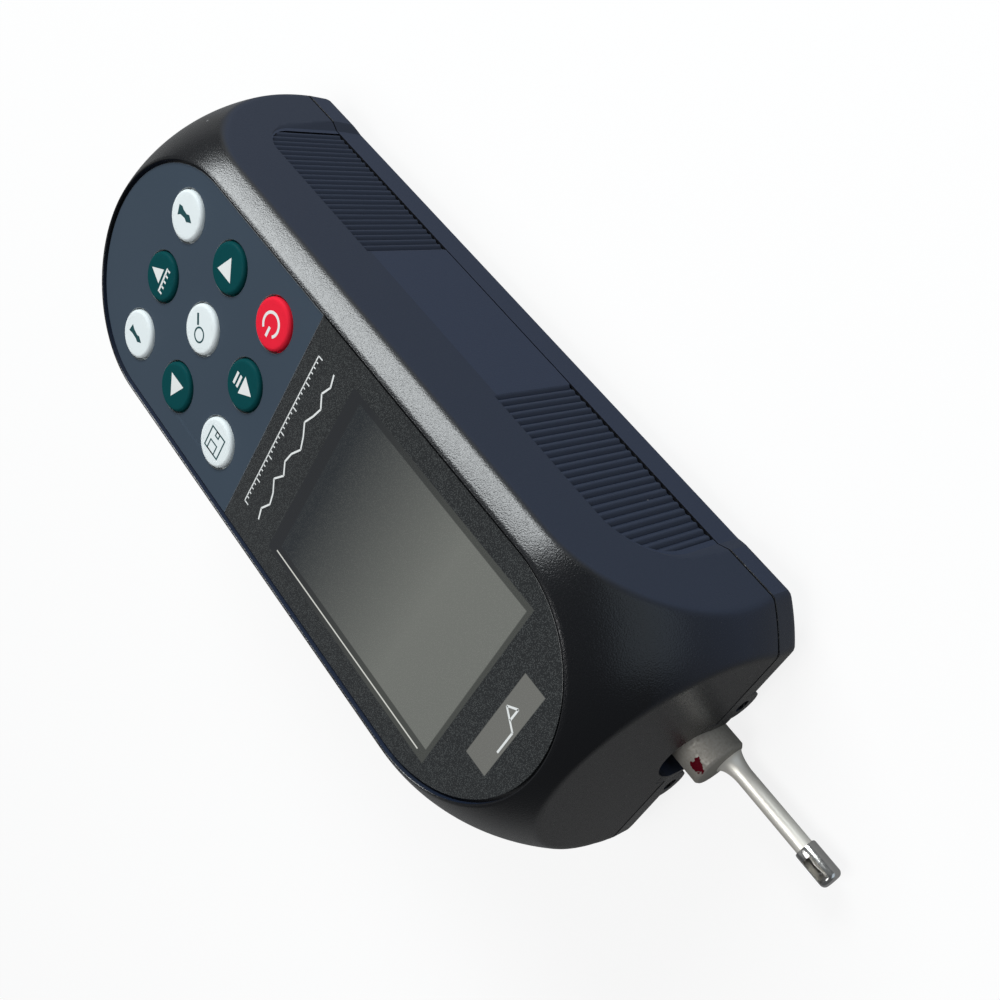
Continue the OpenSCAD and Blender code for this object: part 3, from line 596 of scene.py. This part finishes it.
def make_key(node):
    low, high = span(node)
    x, y, top = (low.x + high.x) / 2, (low.y + high.y) / 2, high.z
    flange_top = low.z + KEY_FLANGE_T
    profile = [(AXIS_R, low.z), (KEY_FLANGE_R, low.z), (KEY_FLANGE_R, flange_top), (KEY_R, flange_top)]
    profile += arc((KEY_R - KEY_EDGE, top - KEY_EDGE), KEY_EDGE, 0, 90, 8)
    profile += [(KEY_R - KEY_LAND, top), (AXIS_R, top)]
    return soften(turned(node + "_cap", profile, 96, "Z", (x, y, 0)), 50), Vector((x, y, top))


def print_layer(name, shapes, base):
    """Flat printed shapes, a little proud of the face that carries them."""
    work = bmesh.new()
    foot_z = (base.z - PRINT_SINK) * MM
    for shape in shapes:
        corners = [work.verts.new(((base.x + x) * MM, (base.y + y) * MM, foot_z)) for x, y in shape]
        foot = work.faces.new(corners)
        grown = bmesh.ops.extrude_face_region(work, geom=[foot])["geom"]
        upper = [v for v in grown if isinstance(v, bmesh.types.BMVert)]
        bmesh.ops.translate(work, vec=(0, 0, (PRINT_T + PRINT_SINK) * MM), verts=upper)
    bmesh.ops.recalc_face_normals(work, faces=work.faces)
    piece = new_piece(name, [], [])
    work.to_mesh(piece.data)
    work.free()
    return piece


def bar(x0, y0, x1, y1, width):
    along = Vector((x1 - x0, y1 - y0)).normalized()
    across = Vector((-along.y, along.x)) * width / 2
    return [(x0 + across.x, y0 + across.y), (x0 - across.x, y0 - across.y),
            (x1 - across.x, y1 - across.y), (x1 + across.x, y1 + across.y)]


def ring_print(x, y, r, width, start, end, steps=24):
    """An arc of even width, as a row of short quads."""
    inner = arc((x, y), r - width / 2, start, end, steps)
    outer = arc((x, y), r + width / 2, start, end, steps)
    return [[inner[i], outer[i], outer[i + 1], inner[i + 1]] for i in range(steps)]


def box_print(x0, y0, x1, y1, width):
    w = width / 2
    return [bar(x0 - w, y0, x1 + w, y0, width), bar(x0 - w, y1, x1 + w, y1, width),
            bar(x0, y0 + w, x0, y1 - w, width), bar(x1, y0 + w, x1, y1 - w, width)]


# Plain symbols, each round the middle of its key
key_prints = {
    "key_power": ring_print(0.1, 0, 1.95, 0.5, 42, 318) + [bar(0.6, 0, 2.4, 0, 0.55)],
    "key_page": [[(-1.75, -0.1), (1.75, -0.1), (0, 2.9)],
                 bar(-1.15, -0.95, 1.15, -0.95, 0.55), bar(-1.15, -1.95, 1.15, -1.95, 0.55)],
    "key_save": (box_print(-2, -2, 2, 2, 0.26) + box_print(0.2, -1.15, 2, 0.85, 0.24)
                 + box_print(-2, -0.5, -1.1, 0.4, 0.24)),
    "key_left": [[(1.5, -2.05), (1.5, 2.05), (-2.05, 0)]],
    "key_start": ring_print(0.9, 0.35, 1.25, 0.3, 0, 360) + [bar(-0.25, -0.85, -1.9, -2.0, 0.5)],
    "key_right": [[(-1.5, 2.05), (-1.5, -2.05), (2.05, 0)]],
    "key_return": [[(-0.6, -2.4), (1.15, -1.9), (0.6, -1.25), (0.45, 0.1), (0.75, 0.8), (0.05, 2.1),
                    (-0.7, 0.9), (-0.4, 0.2), (-0.5, -0.9), (-0.8, -1.5)]],
    "key_down": ([[(-1.6, 0.2), (1.3, 0.2), (0.1, -2.9)], bar(-2.4, 1.0, 2.4, 1.0, 0.42)]
                 + [bar(x, 1.1, x, 1.95, 0.34) for x in (-2.2, -1.1, 0, 1.1, 2.2)]),
    "key_enter": [[(0.9, -2.3), (-0.65, -1.95), (-0.15, -1.1), (0.1, 0.2), (-0.1, 0.8), (0.5, 1.9),
                   (1.1, 0.8), (0.85, 0.2), (0.75, -1.2)]],
}


def trace_shapes():
    """A generic roughness trace with a scale beside it."""
    heights = [0.0, 0.5, -0.35, 0.75, 0.15, -0.7, 0.3, 0.95, -0.15, -0.55, 0.45, -0.85, 0.2, 0.65, -0.4, 0.1]
    left, pitch, trace_y, swing = -15.5, 2.05, -1.0, 1.15
    scale_y, long_tick, short_tick = -5.4, 1.1, 0.6
    points = [(left + i * pitch, trace_y + swing * h) for i, h in enumerate(heights)]
    shapes = [bar(*a, *b, 0.32) for a, b in zip(points, points[1:])]
    shapes.append(bar(left, scale_y, points[-1][0], scale_y, 0.22))
    for i in range(2 * len(heights) - 1):
        x = left + i * pitch / 2
        shapes.append(bar(x, scale_y, x, scale_y + (short_tick if i % 5 else long_tick), 0.2))
    return shapes


def label_shapes():
    """A plain surface mark: a tick with a bar across it and a line over it."""
    path = [(-4.2, 0.2), (-3.0, -1.5), (-0.8, 1.6), (3.6, 1.6)]
    lines = list(zip(path, path[1:])) + [(path[0], (-1.85, 0.2))]
    return [bar(x0, LABEL_Y + y0, x1, LABEL_Y + y1, 0.34) for (x0, y0), (x1, y1) in lines]


# Pickup

def make_collar():
    r, chamfer = (collar_high.x - collar_low.x) / 2, 0.4
    length = collar_high.y - collar_low.y
    spigot_r, spigot, edge = 3.0, 6.8, 0.3
    profile = [(AXIS_R, 0), (spigot_r, 0), (spigot_r, spigot), (r - edge, spigot), (r, spigot + edge)]
    profile += [(r, length - chamfer - 0.1), (r - 0.04, length - chamfer + 0.02)]
    profile += [(r - chamfer + 0.06, length - 0.06), (r - chamfer - 0.05, length), (AXIS_R, length)]
    return soften(turned("pickup_collar_body", profile, 144, "Y", (0, collar_low.y, PICKUP_Z)), 30)


def make_rod():
    """The rod with its eccentric flare, which the collar's own round cuts short."""
    r, flare, flare_r, columns = 1.45, 3.6, 1.35, 96
    back = collar_high.y
    drop = PICKUP_Z - ROD_Z
    collar_r = (collar_high.x - collar_low.x) / 2 - 0.42
    turn = np.linspace(0, 2 * math.pi, columns + 1)[:-1]
    up, side = np.sin(turn), np.cos(turn)
    edge = drop * up + np.sqrt(np.maximum(collar_r ** 2 - (drop * side) ** 2, 0))
    stations = [back - 0.3]
    stations += [back + flare * (1 - math.cos(math.radians(a))) for a in np.linspace(0, 90, 22)]
    stations += [rod_front - 0.1]
    vertices = []
    for y in stations:
        rise = min(max(1 - (y - back) / flare, 0), 1)
        wide = r + flare_r * (1 - math.sqrt(1 - rise ** 2))
        reach = np.maximum(-smooth_max(-np.full_like(edge, wide), -edge, 0.5), r)
        vertices += [(reach[i] * side[i], y, ROD_Z + reach[i] * up[i]) for i in range(columns)]
    rod = new_piece("pickup_rod_body", vertices, tube_faces(len(stations), columns))
    return soften(face_outwards(rod), 40)


def make_head():
    r, length = (head_high.x - head_low.x) / 2, head_high.y - head_low.y
    tip, stylus_y = 0.85, (tip_low.y + tip_high.y) / 2
    profile = [(1.5, 0), (r - 0.3, 0), (r - 0.08, 0.1), (r, 0.34), (r, length - tip)]
    profile += arc((r - tip, length - tip), tip, 4, 90, 10) + [(0.1, length)]
    head = face_outwards(turned("skid_head_body", profile, 96, "Y", (0, head_low.y, ROD_Z)))
    slot_outline = [(-0.95, ROD_Z - 0.9), (0.95, ROD_Z - 0.9), (1.0, ROD_Z + 3), (-1.0, ROD_Z + 3)]
    slot = prism("slot", slot_outline, head_low.y + 1.5, head_high.y - 0.8, "Y")
    hole = rod_cutter("hole", 0, head_low.y - 0.5, head_low.y + 2, ROD_Z, 0.9, 32)
    stylus_way = turned("stylus_way", [(0.65, head_low.z - 1), (0.65, ROD_Z)], 32, "Z", (0, stylus_y, 0))
    return soften(carve(head, [slot, hole, stylus_way]), 35)


def make_lever():
    """The lever: a ridged blade that narrows to the stylus, its post, its hub and the arm behind."""
    low, high = span("stylus_lever")
    root, tip = head_low.y + 1.0, high.y
    post_r, hub_r, hub_w, hub_y = 0.32, 0.65, 1.4, 60.1
    # along the lever: place, half width, half thickness and how far its top narrows to a ridge
    stations = [(low.y, 0.8, 0.25, 0.8), (low.y + 2.2, 0.8, 0.25, 0.8), (low.y + 2.3, 0.38, 0.38, 0.8),
                (root - 0.4, 0.38, 0.38, 0.8), (root + 0.5, 0.38, 0.38, 0.8), (root + 1.1, 0.7, 0.7, 0.2),
                (root + 1.8, 0.74, 0.95, 0.12), (tip - 0.6, 0.5, 0.6, 0.2), (tip, 0.3, 0.3, 0.3)]
    vertices = []
    for y, half, thick, ridge in stations:
        under, over = ROD_Z - min(thick, 0.25), ROD_Z + thick
        vertices += [(-half, y, under), (half, y, under), (half * ridge, y, over), (-half * ridge, y, over)]
    blade = face_outwards(new_piece("stylus_lever_blade", vertices, tube_faces(len(stations), 4)))
    post = turned("post", [(post_r, 0), (post_r, ROD_Z - low.z)], 32, "Z", (0, tip - post_r, low.z))
    hub = face_outwards(rod_cutter("hub", 0, 0, hub_w, 0, hub_r, 32))
    across = Matrix.Rotation(math.radians(-90), 4, "Z")
    hub.data.transform(Matrix.Translation(Vector((-hub_w / 2, hub_y, ROD_Z)) * MM) @ across)
    return soften(carve(blade, [face_outwards(post), hub], "UNION"), 35)


# Finishes

class Finish:
    """A material with a Principled shader and short ways to add nodes."""

    def __init__(self, name, base, roughness, metallic=0.0):
        self.material = bpy.data.materials.new(name)
        self.material.use_nodes = True
        self.tree = self.material.node_tree
        self.shader = self.tree.nodes["Principled BSDF"]
        self.fix(Base_Color=(*base, 1), Roughness=roughness, Metallic=metallic)
        self.place = self.tree.nodes.new("ShaderNodeTexCoord")

    def fix(self, **values):
        """Sets inputs of the shader to plain values."""
        for label, value in values.items():
            self.shader.inputs[label.replace("_", " ")].default_value = value

    def feed(self, label, socket):
        self.tree.links.new(socket, self.shader.inputs[label])

    def group(self, tree, **values):
        step = add_node(self.tree, "ShaderNodeGroup", {}, node_tree=tree)
        for label, value in values.items():
            step.inputs[label.replace("_", " ")].default_value = value
        self.tree.links.new(self.place.outputs["Object"], step.inputs["Vector"])
        return step

    def parts(self, label):
        """X, Y and Z of the object coordinates or of the normal."""
        return add_node(self.tree, "ShaderNodeSeparateXYZ", {0: self.place.outputs[label]}).outputs

    def bump(self, height, distance, strength):
        step = add_node(self.tree, "ShaderNodeBump",
                        {"Distance": distance * MM, "Strength": strength, "Height": height})
        self.feed("Normal", step.outputs[0])

    def mix(self, factor, a, b):
        a, b = [(*colour, 1) if isinstance(colour, tuple) else colour for colour in (a, b)]
        step = add_node(self.tree, "ShaderNodeMix", {"Factor": factor, 6: a, 7: b}, data_type="RGBA")
        return step.outputs[2]

    def remap(self, value, low, high, to_low=0.0, to_high=1.0):
        return add_node(self.tree, "ShaderNodeMapRange", {"Value": value, "From Min": low, "From Max": high,
                                                          "To Min": to_low, "To Max": to_high}).outputs[0]

    def vary(self, noise, low, high):
        """A value that follows a noise, which keeps mostly between 0.3 and 0.7."""
        return self.remap(noise, 0.3, 0.7, low, high)

    def drift(self, grain, base, share):
        """A base colour that wanders slowly down to a share of itself."""
        self.feed("Base Color", self.mix(grain.outputs["Drift"], tuple(c * share for c in base), base))

    def math(self, operation, a, b=None):
        return math_node(self.tree, operation, a, b)


def effect(name, inputs, outputs):
    tree = bpy.data.node_groups.new(name, "ShaderNodeTree")
    tree.interface.new_socket("Vector", in_out="INPUT", socket_type="NodeSocketVector")
    for label, value in inputs.items():
        tree.interface.new_socket(label, in_out="INPUT", socket_type="NodeSocketFloat").default_value = value
    for label in outputs:
        tree.interface.new_socket(label, in_out="OUTPUT", socket_type="NodeSocketFloat")
    return tree, tree.nodes.new("NodeGroupInput").outputs, tree.nodes.new("NodeGroupOutput").inputs


def grain_effect():
    """Spark-eroded mould grain: fine pits over a slow drift."""
    tree, take, give = effect("mould grain", {"Scale": 3000.0, "Drift": 60.0}, ["Height", "Drift"])
    fine = add_node(tree, "ShaderNodeTexNoise", {"Vector": take["Vector"], "Scale": take["Scale"],
                                                 "Detail": 1.0, "Roughness": 0.5})
    slow = add_node(tree, "ShaderNodeTexNoise", {"Vector": take["Vector"], "Scale": take["Drift"],
                                                 "Detail": 2.0})
    tree.links.new(fine.outputs["Fac"], give["Height"])
    tree.links.new(slow.outputs["Fac"], give["Drift"])
    return tree


def speck_effect():
    """Scattered specks as a mask, for dust and for painted sparkle glints."""
    tree, take, give = effect("specks", {"Scale": 400.0, "Size": 0.05, "Share": 0.06}, ["Mask"])
    cells = add_node(tree, "ShaderNodeTexVoronoi", {"Vector": take["Vector"], "Scale": take["Scale"],
                                                    "Randomness": 1.0})
    split = add_node(tree, "ShaderNodeSeparateColor", {0: cells.outputs["Color"]})
    chosen = math_node(tree, "LESS_THAN", split.outputs[0], take["Share"])
    near = math_node(tree, "LESS_THAN", cells.outputs["Distance"], take["Size"])
    tree.links.new(math_node(tree, "MULTIPLY", chosen, near), give["Mask"])
    return tree


def area_effect():
    """A soft-edged rectangle in the plane of the panel, as a mask."""
    tree, take, give = effect("panel area", {"Middle X": 0.0, "Middle Y": 0.0, "Half X": 0.01, "Half Y": 0.01,
                                             "Edge": 0.0001}, ["Mask"])
    split = add_node(tree, "ShaderNodeSeparateXYZ", {0: take["Vector"]})
    masks = []
    for axis in ("X", "Y"):
        away = math_node(tree, "SUBTRACT", split.outputs[axis], take["Middle " + axis])
        inside = math_node(tree, "SUBTRACT", take["Half " + axis], math_node(tree, "ABSOLUTE", away))
        soft = math_node(tree, "DIVIDE", inside, take["Edge"])
        masks.append(add_node(tree, "ShaderNodeClamp", {0: soft}).outputs[0])
    tree.links.new(math_node(tree, "MULTIPLY", *masks), give["Mask"])
    return tree


GRAIN, SPECKS, AREA = grain_effect(), speck_effect(), area_effect()


def shell_finish():
    """Near-black moulding: satin on the shoulder and matt on the sides, with painted bluish light on faces
    that turn sideways and a lighter, bluer painted light on the grips' floors.
    """
    f = Finish("black satin moulding", (0.012, 0.0135, 0.018), 0.4)
    f.fix(Specular_IOR_Level=0.5)
    black, dust = (0.006, 0.0065, 0.008), (0.4, 0.4, 0.4)
    # painted light: bluish on faces that turn sideways, lighter and bluer on the grips' floors
    wall, painted_floor_light = (0.0155, 0.0235, 0.045), (0.0195, 0.030, 0.060)
    grain = f.group(GRAIN, Scale=4300.0, Drift=45.0).outputs["Height"]
    specks = f.group(SPECKS, Scale=260.0, Size=0.05, Share=0.05).outputs["Mask"]
    # the way a face looks tells a side wall, a face that turns sideways and a grip's floor from the rest; the
    # last two get painted light in their colour
    normal = f.parts("Normal")
    sideways = f.math("ABSOLUTE", normal["X"])
    side = f.remap(sideways, 0.74, 0.97)
    painted_blue_light = f.math("MULTIPLY", f.remap(sideways, 0.15, 0.65), f.remap(normal["Z"], 0.55, 0.2))
    grip = f.remap(sideways, GRIP_FLOOR_COS - 0.001, GRIP_FLOOR_COS + 0.001)
    body = f.mix(painted_blue_light, black, f.mix(grip, wall, painted_floor_light))
    f.feed("Base Color", f.mix(specks, body, dust))
    f.feed("Roughness", f.math("ADD", f.remap(side, 0, 1, 0.25, 0.55), f.vary(grain, -0.03, 0.03)))
    f.bump(grain, 0.034, 0.8)
    return f.material


def rib_finish():
    """The matt moulding of the sides, on the ribs' round crests too, with the painted bluish light of the
    sides in its colour.
    """
    f = Finish("matt ribbed moulding", (0.018, 0.0275, 0.054), 0.55)
    grain = f.group(GRAIN, Scale=2600.0, Drift=45.0)
    # painted light: the bluish tone of the sides, varied slowly
    f.feed("Base Color", f.mix(grain.outputs["Drift"], (0.0165, 0.0255, 0.050), (0.019, 0.029, 0.057)))
    f.feed("Roughness", f.vary(grain.outputs["Drift"], 0.52, 0.58))
    f.bump(grain.outputs["Height"], 0.04, 0.5)
    return f.material


def keypad_finish():
    """Slate film with a painted highlight on its cut edge."""
    f = Finish("slate keypad film", (0.046, 0.068, 0.096), 0.42)
    f.fix(Specular_IOR_Level=0.2)
    grain = f.group(GRAIN, Scale=5200.0, Drift=30.0)
    # a painted highlight: pale colour where the face tilts over at the film's edge
    painted_edge_highlight = f.remap(f.parts("Normal")["Z"], 0.95, 0.75, 0.0, 0.6)
    film = f.mix(grain.outputs["Drift"], (0.038, 0.056, 0.079), (0.045, 0.065, 0.091))
    f.feed("Base Color", f.mix(painted_edge_highlight, film, (0.5, 0.53, 0.55)))
    f.feed("Roughness", f.vary(grain.outputs["Height"], 0.36, 0.46))
    f.bump(grain.outputs["Height"], 0.01, 0.35)
    return f.material


def window_finish():
    """Black print with painted sparkle glints round a grey display whose painted light fades towards the
    keypad, with a label and a painted reflection as a pale line.
    """
    f = Finish("printed display window", (0.006, 0.0065, 0.0075), 0.22)
    f.fix(Coat_Weight=0.4, Coat_Roughness=0.22)

    def area(x, y, width, length, edge=0.12):
        return f.group(AREA, Middle_X=x * MM, Middle_Y=y * MM, Half_X=width / 2 * MM, Half_Y=length / 2 * MM,
                       Edge=edge * MM).outputs["Mask"]

    # painted glints: sparkle from the grain of the window's film, in its colour
    painted_glints = f.group(SPECKS, Scale=7600.0, Size=0.5, Share=0.4).outputs["Mask"]
    # painted light: the display, and the strip round it, grow lighter away from the keypad
    painted_light_fade = f.remap(f.parts("Object")["Y"], 8 * MM, 34 * MM)
    painted_display_light = f.mix(painted_light_fade, (0.010, 0.014, 0.018), (0.156, 0.160, 0.144))
    painted_display_light = f.mix(f.math("MULTIPLY", painted_glints, 0.09), painted_display_light, (0.3, 0.3, 0.26))
    rim = f.mix(painted_light_fade, (0.010, 0.012, 0.015), (0.055, 0.058, 0.052))
    black = f.mix(painted_glints, (0.0090, 0.0110, 0.0125), (0.058, 0.064, 0.064))
    shade = f.mix(area(0.0, VIEW_Y, VIEW_W, VIEW_L), black, rim)
    shade = f.mix(area(CELL_X, CELL_Y, CELL_W, CELL_L), shade, painted_display_light)
    shade = f.mix(area(LABEL_X, LABEL_Y, LABEL_W, LABEL_L), shade, (0.155, 0.154, 0.140))
    # a painted reflection: a pale line along the edge of the display's film
    shade = f.mix(area(EDGE_REFLECTION_X, VIEW_Y, EDGE_REFLECTION_W, EDGE_REFLECTION_L, 0.1), shade, (0.75, 0.74, 0.68))
    f.feed("Base Color", shade)
    f.feed("Roughness", f.remap(painted_glints, 0, 1, 0.2, 0.34))
    return f.material


def key_finish(name, base):
    f = Finish(name, base, 0.38)
    f.fix(Specular_IOR_Level=0.02)
    grain = f.group(GRAIN, Scale=2400.0, Drift=160.0)
    f.drift(grain, base, 0.94)
    f.feed("Roughness", f.vary(grain.outputs["Height"], 0.32, 0.42))
    f.bump(grain.outputs["Height"], 0.008, 0.3)
    return f.material


def ink_finish(name, base):
    f = Finish(name, base, 0.45)
    f.drift(f.group(GRAIN, Scale=3000.0, Drift=300.0), base, 0.88)
    return f.material


def metal_finish(name, base, roughness, grain_scale, depth, stretch=None, metallic=1.0):
    f = Finish(name, base, roughness, metallic)
    grain = f.group(GRAIN, Scale=grain_scale, Drift=220.0)
    if stretch:
        turn = add_node(f.tree, "ShaderNodeMapping", {"Vector": f.place.outputs["Object"], "Scale": stretch})
        f.tree.links.new(turn.outputs[0], grain.inputs["Vector"])
    f.drift(grain, base, 0.9)
    f.feed("Roughness", f.vary(grain.outputs["Height"], roughness * 0.8, roughness * 1.25))
    f.bump(grain.outputs["Height"], depth, 0.5)
    return f


def collar_finish():
    """Bead-blasted steel with a dab of crimson marking paint."""
    f = metal_finish("blasted collar steel", (0.42, 0.40, 0.362), 0.68, 2600.0, 0.06)
    f.fix(Specular_IOR_Level=0.1)
    here = f.place.outputs["Object"]
    spot = Vector((0, collar_high.y - 1.45, collar_high.z)) * MM
    wander = add_node(f.tree, "ShaderNodeTexNoise", {"Vector": here, "Scale": 800.0})
    away = add_node(f.tree, "ShaderNodeVectorMath", {0: here, 1: spot}, operation="DISTANCE")
    ragged = f.math("ADD", away.outputs["Value"], f.vary(wander.outputs["Fac"], -0.4 * MM, 0.4 * MM))
    dab = f.remap(ragged, 1.25 * MM, 1.15 * MM)
    steel = f.shader.inputs["Base Color"].links[0].from_socket
    f.feed("Base Color", f.mix(dab, steel, (0.10, 0.0003, 0.007)))
    f.feed("Metallic", f.remap(dab, 0, 1, 0.6, 0.0))
    return f.material


def plain_finish(name, base, roughness):
    f = Finish(name, base, roughness)
    grain = f.group(GRAIN, Scale=1800.0, Drift=120.0)
    f.drift(grain, base, 0.85)
    f.feed("Roughness", f.vary(grain.outputs["Height"], roughness * 0.9, min(roughness * 1.1, 1)))
    f.bump(grain.outputs["Height"], 0.02, 0.3)
    return f.material


finishes = {
    "shell_plastic": shell_finish(),
    "keypad_slate": keypad_finish(),
    "window_black": window_finish(),
    "key_white": key_finish("white key", (0.76, 0.82, 0.83)),
    "key_teal": key_finish("teal key", (0.004, 0.058, 0.064)),
    "key_red": key_finish("red key", (0.8, 0.02, 0.045)),
    "blasted_steel": collar_finish(),
    "display_grey": plain_finish("display cell", (0.12, 0.125, 0.11), 0.2),
    "frame_white": plain_finish("white display frame", (0.7, 0.7, 0.68), 0.5),
    "silicone": plain_finish("silicone key mat", (0.45, 0.47, 0.5), 0.6),
    "board_green": plain_finish("board lacquer", (0.008, 0.075, 0.035), 0.35),
    "battery_wrap": plain_finish("battery wrap", (0.02, 0.07, 0.22), 0.3),
    "black_plastic": plain_finish("black socket plastic", (0.01, 0.01, 0.011), 0.45),
}
# Name, colour, roughness, grain scale and depth, stretch of the grain, metallic
metals = {
    "polished_rod": ("satin rod steel", (0.95, 0.922, 0.85), 0.46, 1500.0, 0.006, (1.0, 0.08, 1.0), 0.55),
    "head_chrome": ("chromed head", (0.74, 0.735, 0.72), 0.2, 1800.0, 0.003),
    "bright_steel": ("ground steel", (0.56, 0.56, 0.57), 0.28, 1600.0, 0.006),
    "milled_aluminium": ("milled aluminium", (0.6, 0.61, 0.63), 0.38, 900.0, 0.01, (1.0, 0.1, 1.0)),
    "bearing_bronze": ("turned bronze", (0.5, 0.33, 0.14), 0.35, 1500.0, 0.006),
    "contact_brass": ("plated contacts", (0.72, 0.5, 0.16), 0.2, 2500.0, 0.003),
    "coil_copper": ("wound copper", (0.5, 0.2, 0.08), 0.4, 4000.0, 0.02, (0.2, 0.2, 3.0)),
    "black_steel": ("blackened screws", (0.045, 0.045, 0.048), 0.4, 1800.0, 0.006),
}
finishes.update({slot: metal_finish(*values).material for slot, values in metals.items()})
ribbed = rib_finish()
white_ink = ink_finish("white print", (0.82, 0.84, 0.83))
teal_ink = ink_finish("teal print", (0.004, 0.06, 0.068))

# Every CAD node that still shows takes the finish of its slot
node_slots = {row["node"]: row["material_slot"] for row in frame["record"]["subparts"]}
for node, slot in node_slots.items():
    frame["nodes"][node].data.materials.clear()
    frame["nodes"][node].data.materials.append(finishes[slot])


def dress(piece, body, slot, replaces=(), finish=None):
    piece.data.materials.clear()
    piece.data.materials.append(finish or finishes[slot])
    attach(piece, body)
    if replaces:
        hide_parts(*replaces)
    return piece


# The pieces

dress(make_front_shell(), "housing", "shell_plastic", ["front_shell"])
dress(make_back_cover(), "housing", "shell_plastic", ["back_cover"])
for ribs in make_ribs(ribbed):
    dress(ribs, "housing", "shell_plastic", (), ribbed)
dress(make_cover_screws(finishes["black_steel"]), "housing", "black_steel", ["cover_screws"])
dress(bevelled_copy("keypad_film", "keypad_panel", 0.15), "housing", "keypad_slate", ["keypad_panel"])
dress(bevelled_copy("window_pane", "display_window", 0.04), "housing", "window_black", ["display_window"])
window_top = Vector((0, 0, FACE_Z))
dress(print_layer("window_trace", trace_shapes(), window_top), "housing", "key_white", (), white_ink)
dress(print_layer("label_mark", label_shapes(), window_top), "housing", "key_white", (), white_ink)

for key, shapes in key_prints.items():
    cap, top = make_key(key)
    dress(cap, key, node_slots[key], [key])
    pale = node_slots[key] == "key_white"
    ink_slot, ink = ("key_teal", teal_ink) if pale else ("key_white", white_ink)
    dress(print_layer(key + "_print", shapes, top), key, ink_slot, (), ink)

dress(make_collar(), "pickup", "blasted_steel", ["pickup_collar"])
dress(make_rod(), "pickup", "polished_rod", ["pickup_rod"])
dress(make_head(), "pickup", "head_chrome", ["skid_head"])
dress(make_lever(), "stylus", "bright_steel", ["stylus_lever"], finishes["polished_rod"])


# Floor, light and camera

def white_backdrop(tree, lit, white, out, to_camera, to_shine):
    """Shows plain white in place of a lit shader: a share to the camera, another to metal and glass."""
    rays = tree.nodes.new("ShaderNodeLightPath").outputs
    shine = math_node(tree, "MAXIMUM", rays["Is Glossy Ray"], rays["Is Transmission Ray"])
    straight = math_node(tree, "MULTIPLY", rays["Is Camera Ray"], to_camera)
    share = math_node(tree, "MAXIMUM", straight, math_node(tree, "MULTIPLY", shine, to_shine))
    mix = add_node(tree, "ShaderNodeMixShader", {0: share, 1: lit.outputs[0], 2: white.outputs[0]})
    tree.links.new(mix.outputs[0], out.inputs[0])


def make_floor():
    """A pale floor just under the base, dark to the light it throws back at the housing."""
    half, z = 3000.0, -0.05
    floor = new_piece("floor", [(x, y, z) for x, y in rectangle(-half, -half, half, half)], [(0, 1, 2, 3)])
    material = bpy.data.materials.new("pale floor")
    material.use_nodes = True
    tree = material.node_tree
    tree.nodes.clear()
    seen = tree.nodes.new("ShaderNodeLightPath").outputs["Is Camera Ray"]
    pale = add_node(tree, "ShaderNodeMapRange", {"Value": seen, "To Min": 0.22, "To Max": 0.95})
    matt = add_node(tree, "ShaderNodeBsdfDiffuse", {"Color": pale.outputs[0]})
    white = add_node(tree, "ShaderNodeEmission", {"Strength": 1.0})
    white_backdrop(tree, matt, white, tree.nodes.new("ShaderNodeOutputMaterial"), 0.85, 0.05)
    floor.data.materials.append(material)


def softbox(name, towards, distance, width, height, power, colour=(1, 1, 1)):
    """An area lamp that stands in a direction from the housing's middle and faces it."""
    lamp = bpy.data.lights.new(name, "AREA")
    lamp.shape = "RECTANGLE"
    lamp.size, lamp.size_y = width, height
    lamp.energy = power
    lamp.color = colour
    box = bpy.data.objects.new(name, lamp)
    away = Vector(towards).normalized()
    box.location = Vector((0, 0, 0.03)) + away * distance
    box.rotation_mode = "QUATERNION"
    box.rotation_quaternion = away.to_track_quat("Z", "Y")
    box.visible_camera = False
    bpy.context.scene.collection.objects.link(box)


make_floor()
softbox("window_light", (-0.665, -0.56, 0.50), 1.1, 0.88, 0.27, 11.9, (0.94, 0.985, 1.0))
softbox("overhead", (-0.03, 0.12, 1.0), 0.7, 0.42, 0.42, 2.6)
softbox("far_side", (0.52, -0.54, 0.66), 0.9, 0.9, 0.7, 0.35)
softbox("low_fill", (-0.75, 0.64, 0.16), 0.6, 0.55, 0.3, 0.36, (0.72, 0.86, 1.0))

world = bpy.data.worlds.new("studio")
world.use_nodes = True
sky = world.node_tree
fill = sky.nodes["Background"]
fill.inputs["Color"].default_value = (0.9, 0.95, 1, 1)
fill.inputs["Strength"].default_value = 0.06
backdrop = add_node(sky, "ShaderNodeBackground", {"Color": (1, 1, 1, 1)})
white_backdrop(sky, fill, backdrop, sky.nodes["World Output"], 1.0, 0.04)
bpy.context.scene.world = world

camera = bpy.data.objects.new("camera", bpy.data.cameras.new("camera"))
camera.data.sensor_width = 36.0
camera.data.lens = 44.1
camera.data.clip_start, camera.data.clip_end = 0.01, 20.0
camera_right = Vector((-0.4729, 0.5817, -0.6618))
camera_up = Vector((-0.7105, -0.6959, -0.1039))
camera_back = Vector((-0.5210, 0.4211, 0.7424))
camera_place = Matrix.Translation(Vector((-109.74, 103.98, 162.98)) * MM)
camera_turn = Matrix((camera_right, camera_up, camera_back)).transposed().to_4x4()
camera.matrix_world = camera_place @ camera_turn
bpy.context.scene.collection.objects.link(camera)
bpy.context.scene.camera = camera
bpy.context.scene.view_settings.view_transform = "Standard"
